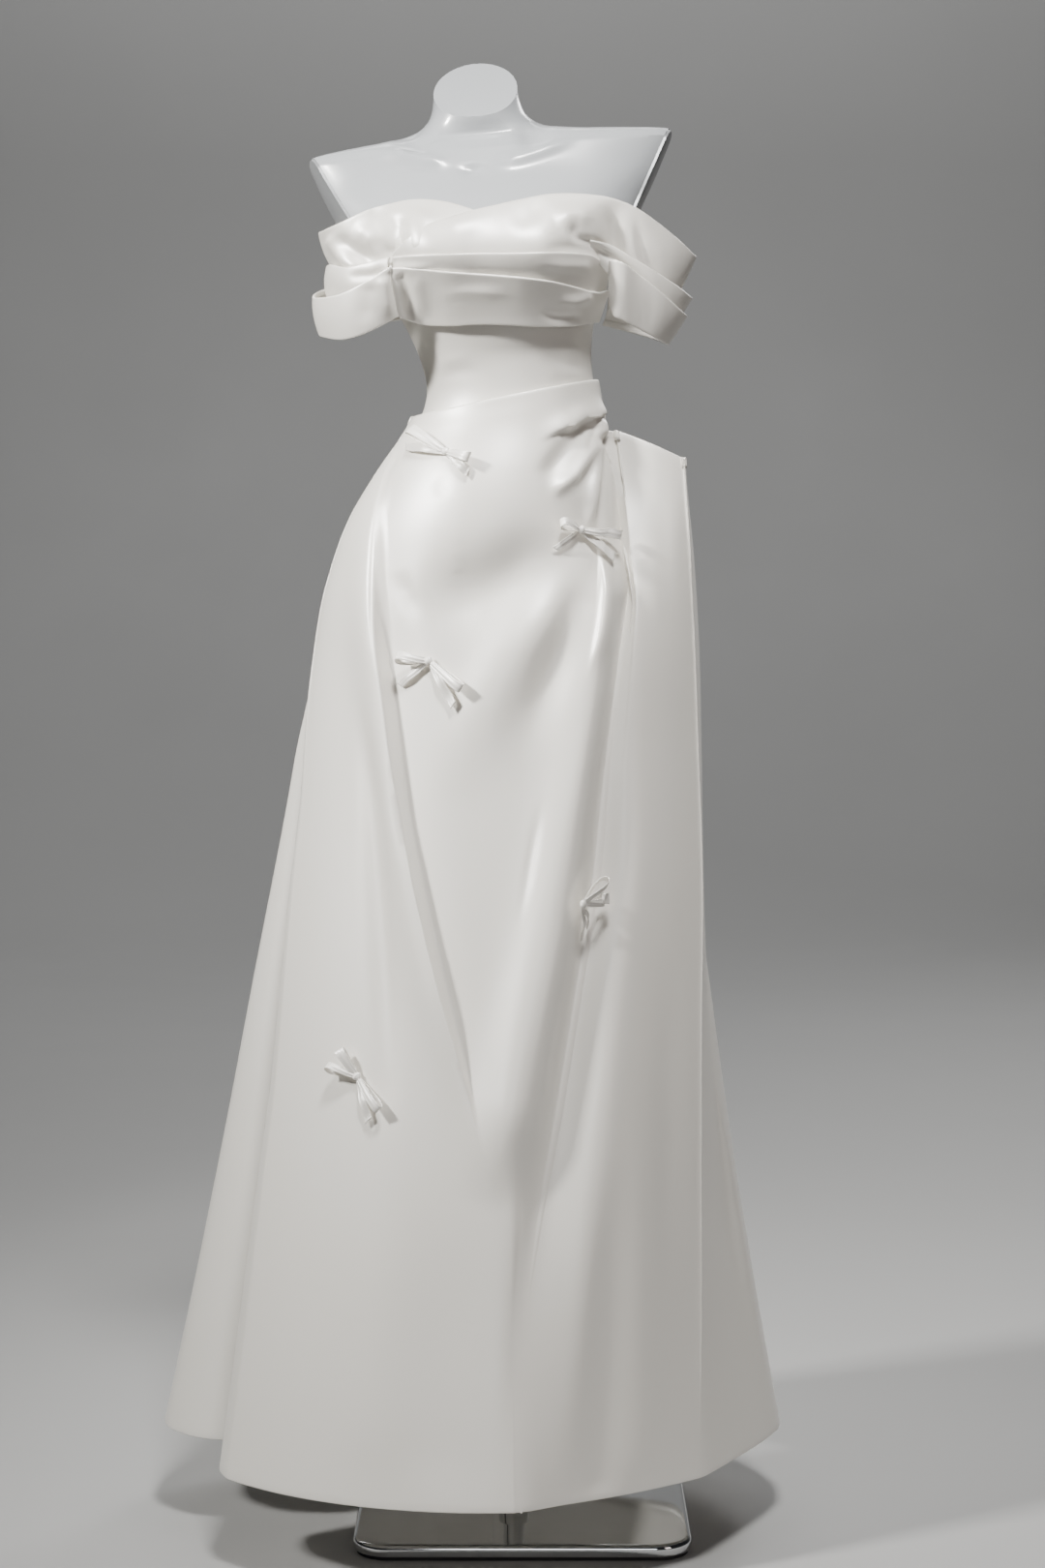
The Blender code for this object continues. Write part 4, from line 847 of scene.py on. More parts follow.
# Where the draped front's main lines run at each height: the left corner that the side rolls
# round, the lip of the swag, the ridge of the swag and the valley beside it
DrapeLine = namedtuple("DrapeLine", "height cornerTurn curl lipX ridgeX valleyX")
drapeLines = [
    DrapeLine(0.105, -47.0, 1.00, -0.030, -0.024, -0.008),
    DrapeLine(0.268, -49.0, 0.85, -0.031, -0.025, 0.000),
    DrapeLine(0.440, -51.5, 0.70, -0.034, -0.026, 0.025),
    DrapeLine(0.548, -53.0, 0.60, -0.058, -0.020, 0.045),
    DrapeLine(0.660, -56.5, 0.48, -0.088, -0.008, 0.065),
    DrapeLine(0.768, -61.0, 0.36, -0.113, 0.024, 0.084),
    DrapeLine(0.883, -66.0, 0.24, -0.134, 0.050, 0.093),
    DrapeLine(0.989, -76.0, 0.14, -0.151, 0.070, 0.102),
    DrapeLine(1.080, -86.0, 0.08, -0.162, 0.083, 0.111),
    DrapeLine(1.150, -90.0, 0.06, -0.162, 0.087, 0.109),
    DrapeLine(1.214, -90.0, 0.05, -0.151, 0.085, 0.098),
    DrapeLine(1.325, -90.0, 0.04, -0.092, 0.078, 0.084),
]

# The square side panel: its inner edge, the rounded ridge, the corner, its side and the back seam
PanelSection = namedtuple(
    "PanelSection",
    "height edgeX edgeY ridgeX ridgeY cornerX cornerY sideX sideY seamTurn",
)
panelSections = [
    PanelSection(0.105, 0.006, -0.280, 0.043, -0.297, 0.200, -0.190, 0.268, -0.070, 97.0),
    PanelSection(0.360, 0.028, -0.232, 0.075, -0.247, 0.200, -0.150, 0.236, -0.045, 92.0),
    PanelSection(0.600, 0.069, -0.172, 0.096, -0.191, 0.201, -0.112, 0.215, -0.045, 86.0),
    PanelSection(0.760, 0.091, -0.134, 0.108, -0.152, 0.203, -0.084, 0.207, -0.020, 96.0),
    PanelSection(0.900, 0.098, -0.106, 0.113, -0.124, 0.199, -0.064, 0.205, 0.020, 112.0),
    PanelSection(1.040, 0.110, -0.083, 0.121, -0.099, 0.194, -0.050, 0.199, 0.040, 124.0),
    PanelSection(1.138, 0.114, -0.056, 0.124, -0.066, 0.189, -0.040, 0.190, 0.045, 130.0),
    PanelSection(1.200, 0.114, -0.038, 0.118, -0.043, 0.185, -0.034, 0.182, 0.045, 134.0),
    PanelSection(1.270, 0.105, -0.024, 0.109, -0.028, 0.180, -0.030, 0.176, 0.040, 138.0),
]


# points of the skirt's ring, with the outward direction in plan
def skirtPlan(turn, height, lift=0.0):
    turn, height = np.broadcast_arrays(np.asarray(turn, float), np.asarray(height, float))
    section = along(skirtSections, height)
    sine, cosine = np.sin(turn), np.cos(turn)
    side = np.where(sine > 0, section.right - section.centreX, section.centreX - section.left)
    deep = np.where(cosine > 0, section.centreY - section.front, section.back - section.centreY)
    x = section.centreX + side * sine
    y = section.centreY - deep * cosine
    outX, outY = sine / side, -cosine / deep
    size = np.hypot(outX, outY)
    outX, outY = outX / size, outY / size
    points = np.stack([x + outX * lift, y + outY * lift, height], -1)
    return points, np.stack([outX, outY, np.zeros_like(outX)], -1)


# angle of the skirt's ring where its front half passes x
def turnAt(x, height):
    section = along(skirtSections, height)
    side = np.where(
        x > section.centreX, section.right - section.centreX, section.centreX - section.left
    )
    return np.arcsin(np.clip((x - section.centreX) / side, -0.999, 0.999))


def waistLine(turn):
    return waistHeight + waistRise * np.sin(turn)


# heights of shares of the way from the hem to the waist, which slants
def heightsUp(turns, shares):
    return hemHeight + (waistLine(turns) - hemHeight) * shares


# The skirt

skirtLook = {"wall": 0.0014, "shown": 0.0011, "hemRoll": 0.0015, "hemTurn": 0.012}

# The draped front's folds, as x and height: its main ones first, then the gathers at the hip
frontFolds = [
    lip(16.5, 30, 0.32, 0.26, (-133, 1249), (-149, 1219), (-158, 1182), (-162, 1145), (-162, 1087),
        (-158.5, 1033), (-152, 985), (-143, 915), (-132, 838), (-116, 762), (-105, 712),
        (-83, 625), (-60, 540), (-42, 460), drop=7),
    ridge(22, 34, 0.1, 0.16, (91, 1150), (81, 1045), (67, 925), (45, 800), (26, 700), (6, 610),
        (-14, 510), (-30, 415)),
    valley(23, 18, 0.4, 0.5, (115, 1150), (110, 1060), (103, 980), (94, 883), (86, 768), (66, 635),
        (46, 531), (24, 419), (4, 268), (-2, 105)),
    valley(16, 40, 0.45, 0.4, (60, 1150), (15, 1115), (-30, 1088), (-75, 1080), (-125, 1098)),
    ridge(11, 34, 0.3, 0.5, (64, 1125), (38, 1086), (12, 1046), (-16, 1004), (-40, 955),
        (-58, 895), (-68, 840)),
    valley(9.5, 19, 0.25, 0.5, (76.5, 1128), (66, 1089.4), (53, 1050), (38, 1005), (20, 955),
        (4, 900)),
    valley(7, 11, 0.3, 0.4, (-181.1, 987.7), (-167.4, 881.3), (-160.4, 775.7), (-154.3, 671.3),
        (-148.3, 567.9), (-146, 480)),
    lip(6, 14, 0.04, 0.45, (96, 1284), (71.6, 1277.1), (60.6, 1270.7), (45.3, 1264.9),
        (30.1, 1257.7), (16.6, 1250.8), drop=4),
    valley(2.2, 3, 0.1, 0.4, (-133, 1249), (-149, 1219), (-158, 1182), (-162, 1145), (-162, 1087),
        (-158.5, 1033), (-152, 985)),
    valley(5.5, 10, 0.1, 0.3, (82.8, 1275), (68.3, 1260.2), (52.9, 1245.8), (34.4, 1223.8),
        (16.6, 1204.3)),
    valley(2, 2.8, 0.2, 0.4, (86.2, 1270.8), (79.3, 1255.1), (69.7, 1236.2)),
    ridge(6.2, 8, 0.06, 0.22, (93.5, 1280), (90.5, 1267), (83, 1247.4), (72.4, 1230.8),
        (60.3, 1215.2), (49.4, 1206.5), (37.5, 1197.2), (25, 1191.5)),
    valley(4.5, 8, 0.1, 0.45, (89.5, 1263.4), (85.2, 1243.1), (76.7, 1222.2), (67.9, 1204.8),
        (57, 1183.2)),
    ridge(6, 7, 0.1, 0.45, (90.5, 1254.5), (85.3, 1220.3), (81.1, 1197.5), (76.6, 1170.4),
        (71.1, 1138.1)),
    valley(4.8, 6, 0.1, 0.35, (95, 1262), (92.5, 1225), (89.5, 1190), (87, 1155), (85, 1125)),
    lip(5.5, 12, 0.3, 0.45, (63.6, 991.2), (69.7, 1020.5), (75.8, 1059.7), (78.9, 1089.3),
        (82.2, 1122.9), (84, 1150), drop=3),
    valley(2.4, 5, 0.4, 0.5, (20, 860), (11, 810), (3.2, 764.3), (-5.3, 718.2)),
    valley(2.6, 10, 0.4, 0.5, (-139.7, 1109.2), (-128.7, 1079.3), (-113.9, 1046.4)),
    valley(1.1, 9, 0.4, 0.5, (-84, 1216), (-92.2, 1181.6)),
    ridge(3, 40, 0.5, 0.2, (-140, 560), (-150, 350), (-160, 105)),
    valley(3, 40, 0.5, 0.2, (-75, 420), (-85, 280), (-90, 105)),
]
frontLook = {
    "lowRows": 118,
    "highRows": 82,
    "rowsMeet": 0.80,
    "columns": [24, 14, 76, 40],
    "crowding": [0, 0, 0.5, 0],
    "lipBefore": 0.010,
    "lipAfter": 0.045,
    "lipGap": 0.02,
    "ridgeGap": 0.014,
    "valleyGap": 0.03,
    "opensOver": (1.10, 1.19),
    "openTurn": 78,
    "openShare": 0.4,
    "belly": {"x": -0.050, "height": 1.185, "radius": 0.070, "rise": 0.0085},
    "topRoll": 0.0016,
    "topInside": 0.008,
}
# Where the front's left edge curls round the corner, as x and y at a full curl
cornerRoll = [(0.012, 0.082), (-0.012, 0.074), (-0.017, 0.042), (-0.009, 0.014)]
tuckTurn = 1.703  # how far round the front runs on inside the panel's top


# a piece of the skirt with its top turned in and its hem turned up
def addSkirtPiece(name, points, roll, inside, satin):
    points = rollEdge(points, "top", roll, inside)
    points = rollEdge(points, "bottom", skirtLook["hemRoll"], skirtLook["hemTurn"])
    addCloth(name, points, skirtLook["shown"], satin)
    return points


# even steps from each stop to the next; ease crowds them towards the far stop
def steppedTurns(stops, counts, eases):
    out = []
    for start, stop, count, ease in zip(stops[:-1], stops[1:], counts, eases):
        share = np.arange(count) / count
        share = share * (1 - ease) + (1 - (1 - share) ** 2) * ease
        out.append(start + (stop - start) * share[:, None])
    return np.concatenate([*out, stops[-1][None]])


def drapedPoints(turns, heights):
    points, outward = skirtPlan(turns, heights, skirtLook["wall"])
    rise = foldSum(points, frontFolds)
    belly = frontLook["belly"]
    away = (points[..., 0] - belly["x"]) ** 2 + (points[..., 2] - belly["height"]) ** 2
    rise = rise + belly["rise"] * np.exp(-away / belly["radius"] ** 2)
    fade = smoothStep(0, waistFade, waistLine(turns) - heights)
    return points + outward * (rise * fade)[..., None]


def frontPoints():
    look = frontLook
    low = np.linspace(0, look["rowsMeet"], look["lowRows"], endpoint=False)
    shares = np.concatenate([low, np.linspace(look["rowsMeet"], 1, look["highRows"])])
    level = hemHeight + (waistHeight - hemHeight) * shares
    line = along(drapeLines, level)
    high = smoothStep(*look["opensOver"], level)
    corner = np.radians(line.cornerTurn)
    lipTurns = np.maximum(turnAt(line.lipX, level), corner + look["lipGap"])
    past = lipTurns + look["lipAfter"]
    valleyTurns = turnAt(line.valleyX, level)
    opened = np.maximum(math.radians(look["openTurn"]), valleyTurns)
    valleyTurns = valleyTurns + (opened - valleyTurns) * high * look["openShare"]
    ridgeTurns = np.maximum(turnAt(line.ridgeX, level), past + look["ridgeGap"])
    valleyTurns = np.maximum(valleyTurns, ridgeTurns + look["valleyGap"])
    stops = [corner, lipTurns - look["lipBefore"], past, ridgeTurns, valleyTurns]
    turns = steppedTurns(stops, look["columns"], look["crowding"])
    heights = heightsUp(turns, shares)
    points = drapedPoints(turns, heights)
    roll = [points[0] + np.outer(line.curl, (x, y, 0)) for x, y in cornerRoll]
    roll = spline(np.array([*roll, points[0], points[3]]), [5, 5, 5, 5, 0])[:-1]
    return np.concatenate([roll, points]), high


# The side panel

panelLook = {
    "topInner": 1.262,
    "topCorner": 1.233,
    "topSide": 1.236,
    "topSeam": 1.262,
    "seamLift": 0.0042,
    "lap": 0.26,
    "steps": [8, 12, 14, 14, 6, 16, 16],
    "lapColumns": 12,
    "rows": 190,
    "edgeRoll": 0.0016,
    "inside": 0.010,
    "hemFlat": 0.010,
    "hemFlatOver": (0.20, 0.60),
    "spread": 0.009,
    "spreadGrows": (0.60, 0.80),
    "spreadFades": (1.06, 1.15),
    "standsOffOver": (1.08, 1.17),
    "rollGrows": (1.10, 1.18),
    "rollFades": (1.205, 1.240),
    "ease": 0.015,
    "easedColumns": 44,
    "easedUpTo": 1.09,
    "easeFades": (0.78, 1.08),
    "hemEaseFades": (0.12, 0.30),
    "easeGrows": 20,
    "cornerColumns": 9,
}
# Soft vertical waves of the panel's face, as x and height
panelFolds = [
    valley(2.2, 16, 0.4, 0.5, (160, 700), (163, 500), (158, 300)),
    ridge(3, 22, 0.5, 0.1, (128, 620), (135, 350), (130, 105)),
    valley(3, 18, 0.5, 0.05, (98, 480), (92, 300), (80, 105)),
    valley(1.4, 12, 0.3, 0.5, (150, 1225), (160, 1120), (165, 980)),
]


def seamAt(seam, levels):
    return np.stack([np.interp(levels, seam[:, 2], seam[:, axis]) for axis in (0, 1)], -1)


# rings of the panel, from the valley round its corner to the seam behind, as [column, level]
def panelRings(levels, front):
    look = panelLook
    line = along(panelSections, levels)
    high = smoothStep(*look["standsOffOver"], levels)[:, None]
    flatten = look["hemFlat"] * (1 - smoothStep(*look["hemFlatOver"], levels))
    seam = seamAt(front[-1], levels)
    before = seamAt(front[-6], levels)
    stated = np.stack([line.edgeX, line.edgeY], -1)
    edge = stated * high + seam * (1 - high)
    spread = window(look["spreadGrows"], look["spreadFades"], levels)
    crest = np.stack([line.ridgeX + look["spread"] * spread, line.ridgeY + flatten], -1)
    corner = np.stack([line.cornerX, line.cornerY], -1)
    side = np.stack([line.sideX, line.sideY], -1)
    face = corner - crest
    rising = edge + (crest - edge) * 0.65 + np.array([-0.002, -0.001])
    middle = crest + face / 2 + np.array([0, -0.006])
    before = before * (1 - high) + (2 * edge - rising) * high
    lap = look["lap"] * np.linspace(-1, 0, look["lapColumns"])[:, None]
    lap, _ = skirtPlan(np.radians(line.seamTurn) + lap, levels, look["seamLift"])
    near = corner - face * 0.05
    past = corner + (side - corner) * 0.08
    route = np.stack([before, edge, rising, crest, middle, near, past, side, lap[0, :, :2]])
    flat = np.concatenate([spline(route, [0, *look["steps"]]), lap[1:, :, :2]])
    tall = np.broadcast_to(levels[None, :, None], (*flat.shape[:2], 1))
    return np.concatenate([flat, tall], -1)


# the plan of rings [column, level], smoothed over a length, with both ends kept
def easedPlan(plan, reach):
    out = np.empty_like(plan)
    spacing = 0.001
    kernel = np.exp(-((np.arange(-3 * reach, 3 * reach, spacing) / reach) ** 2))
    margin = len(kernel) // 2
    for level in range(plan.shape[1]):
        line = plan[:, level]
        gone = np.concatenate([[0], np.cumsum(np.hypot(*np.diff(line, axis=0).T))])
        grid = np.arange(0, gone[-1], spacing)
        for axis in (0, 1):
            even = np.interp(grid, gone, line[:, axis])
            even = np.pad(even, margin, mode="reflect", reflect_type="odd")
            weights = np.convolve(np.ones_like(even), kernel, "same")
            even = (np.convolve(even, kernel, "same") / weights)[margin:-margin]
            out[:, level, axis] = np.interp(gone, grid, even)
    return out


# eases the front and the panel into each other low down, where the valley between them is soft
def joinSoftly(front, levels):
    look = panelLook
    rings = panelRings(levels, front)
    count = look["easedColumns"]
    own = np.stack([seamAt(column, levels) for column in front[-count:]])
    plan = np.concatenate([own, rings[1:, :, :2]])
    corner = count - 1 + sum(look["steps"][:5]) - look["steps"][4] / 2
    sharp = np.exp(-(((np.arange(len(plan)) - corner) / look["cornerColumns"]) ** 2))[:, None]
    low = 1 - smoothStep(*look["easeFades"], levels)
    hem = 1 - smoothStep(*look["hemEaseFades"], levels)
    grown = smoothStep(0, look["easeGrows"], np.arange(len(plan)))[:, None]
    share = (low * (1 - sharp) + hem * sharp) * grown
    plan = plan + (easedPlan(plan, look["ease"]) - plan) * share[..., None]
    front = front.copy()
    for column, line in zip(front[-count:], plan[:count]):
        for axis in (0, 1):
            near = column[:, 2] < look["easedUpTo"]
            column[near, axis] = np.interp(column[near, 2], levels, line[:, axis])
    rings[:, :, :2] = plan[count - 1 :]
    return front, rings


def panelPoints(levels, rings):
    look = panelLook
    inner, corner = look["topInner"], look["topCorner"]
    stops = [inner, inner, inner, (inner + corner) / 2, corner, corner]
    stops += [look["topSide"], look["topSeam"]]
    tops = spline(np.array(stops)[:, None], look["steps"])[:, 0]
    tops = np.append(tops, [look["topSeam"]] * (look["lapColumns"] - 1))
    columns = []
    for ring, top in zip(rings, tops):
        heights = np.linspace(hemHeight, top, look["rows"])
        flat = [np.interp(heights, levels, ring[:, axis]) for axis in (0, 1)]
        columns.append(np.stack([*flat, heights], -1))
    points = np.array(columns)
    facing = smoothStep(0.2, 0.7, -surfaceNormals(points)[..., 1])
    return moved(points, foldSum(points, panelFolds) * facing)


def makePanel(levels, rings, satin):
    look = panelLook
    points = panelPoints(levels, rings)
    high = window(look["rollGrows"], look["rollFades"], points[0, :, 2])
    points = rollEdge(points, "left", look["edgeRoll"] * high, (look["inside"] * high)[:, None])
    return addSkirtPiece("side_panel", points, look["edgeRoll"], look["inside"], satin)


# How the front runs on under the panel: how far along it, and how deep below
underSteps = [(0.004, 0.0006), (0.009, 0.0025), (0.015, 0.006), (0.021, 0.011)]


def makeFront(points, high, satin):
    seam = points[-1]
    rings = panelRings(seam[:, 2], points)
    run = unit(rings[3] - rings[0])
    inward = -surfaceNormals(points)[-1]
    start = np.arctan2(seam[:, 0] + 0.02, -seam[:, 1])
    tuck = []
    for step, (gone, sunk) in enumerate(underSteps, 1):
        angle = start + (tuckTurn - start) * step / len(underSteps)
        around, _ = skirtPlan(angle, seam[:, 2], skirtLook["wall"])
        beside = seam + run * gone + inward * sunk
        tuck.append(around * high[:, None] + beside * (1 - high[:, None]))
    tuck = spline(np.array([points[-3], seam, *tuck]), [0, 4, 4, 4, 4])[1:]
    points = np.concatenate([points, tuck])
    return addSkirtPiece(
        "skirt_front", points, frontLook["topRoll"], frontLook["topInside"], satin
    )


# The back, in halves that meet at the centre seam

backLook = {
    "margin": 0.0003,
    "rows": 150,
    "columns": 96,
    "sideTurn": 98,
    "lapShare": 0.7,
    "lapFades": (0.80, 1.00),
    "curlTurn": 96,
    "sideInset": 0.0036,
    "insetOver": (0.90, 1.00),
    "insetTurns": (-116, -99),
    "seamDip": 0.0014,
    "seamWidth": 0.0022,
    "topRoll": 0.0014,
    "topInside": 0.006,
}
# Where the left back runs in under the draped front at the hem, from its side seam
underlap = [(0.004, -0.018), (0.016, -0.052), (0.050, -0.086), (0.090, -0.098), (0.130, -0.098)]
# Flutes of the back, as x and height
backFolds = [
    ridge(10, 34, 0.7, 0.02, (-120, 1050), (-150, 700), (-185, 105)),
    valley(9, 28, 0.6, 0.02, (-85, 950), (-105, 600), (-125, 105)),
    ridge(8, 26, 0.65, 0.02, (-52, 860), (-58, 500), (-66, 105)),
    valley(7, 24, 0.6, 0.02, (-200, 900), (-240, 600), (-275, 105)),
    ridge(8, 30, 0.6, 0.02, (-255, 780), (-300, 450), (-335, 105)),
    valley(8.5, 30, 0.65, 0.02, (24, 1020), (32, 600), (46, 105)),
    ridge(10.5, 32, 0.6, 0.02, (72, 900), (95, 600), (118, 105)),
    valley(8, 26, 0.55, 0.02, (112, 760), (150, 450), (186, 105)),
    valley(2.4, 10, 0.3, 0.6, (60, 1300), (46, 1262), (22, 1236)),
    valley(2, 9, 0.3, 0.6, (-70, 1290), (-58, 1248), (-50, 1190)),
    ridge(2, 10, 0.3, 0.6, (-100, 1270), (-112, 1210), (-118, 1120)),
]


def backPoints(side, shares):
    look = backLook
    level = hemHeight + (waistHeight - hemHeight) * shares
    share = np.linspace(0, 1, look["columns"])[:, None]
    if side == "right":
        under = np.radians(along(panelSections, level).seamTurn)
        under = under - panelLook["lap"] * look["lapShare"]
        low = 1 - smoothStep(*look["lapFades"], level)
        seam = math.radians(look["sideTurn"])
        first = seam * (1 - low) + np.minimum(under, seam) * low
        turns = first + (math.pi - look["margin"] - first) * share
        heights = heightsUp(turns, shares)
        points, _ = skirtPlan(turns, heights, skirtLook["wall"])
        return points
    curl = along(drapeLines, level).curl
    inset = look["sideInset"] * smoothStep(*look["insetOver"], level)
    last = -np.radians(look["curlTurn"] + 2 * curl)
    turns = -math.pi + look["margin"] + (last + math.pi - look["margin"]) * share
    heights = heightsUp(turns, shares)
    near = smoothStep(*np.radians(look["insetTurns"]), turns)
    points, _ = skirtPlan(turns, heights, skirtLook["wall"] - inset * near)
    start, _ = skirtPlan(-math.pi / 2, heights[-1], skirtLook["wall"] - inset)
    tuck = [start + np.outer(curl, (x, y, 0)) for x, y in underlap]
    tuck = spline(np.array([points[-6], points[-1], *tuck]), [0, 6, 6, 6, 5, 5])[1:]
    return np.concatenate([points, tuck])


def makeBacks(satin):
    look = backLook
    shares = np.linspace(0, 1, look["rows"])
    for side in ("left", "right"):
        points = backPoints(side, shares)
        behind = smoothStep(0.0, 0.35, surfaceNormals(points)[..., 1])
        rise = foldSum(points, backFolds) * behind
        rise = rise * smoothStep(0, waistFade, waistHeight - points[..., 2])
        fromSeam = np.abs(points - (points[0] if side == "left" else points[-1])).sum(-1)
        rise = rise - look["seamDip"] * np.exp(-((fromSeam / look["seamWidth"]) ** 2))
        points = moved(points, rise)
        addSkirtPiece("skirt_back_" + side, points, look["topRoll"], look["topInside"], satin)


# The stations of a strip of the collar, each with its top and bottom points. A Body station lies
# over the bodice at x and height, and stands off the form by its lifts; a Free one is in space
Body = namedtuple("Body", "topX topHeight bottomX bottomHeight topLift bottomLift back")
Free = namedtuple("Free", "topX topY topHeight bottomX bottomY bottomHeight puff")


def onFront(*lengths):
    return Body(*inMetres(*lengths), False)


def onBack(*lengths):
    return Body(*inMetres(*lengths), True)


def free(*lengths):
    return Free(*inMetres(*lengths))


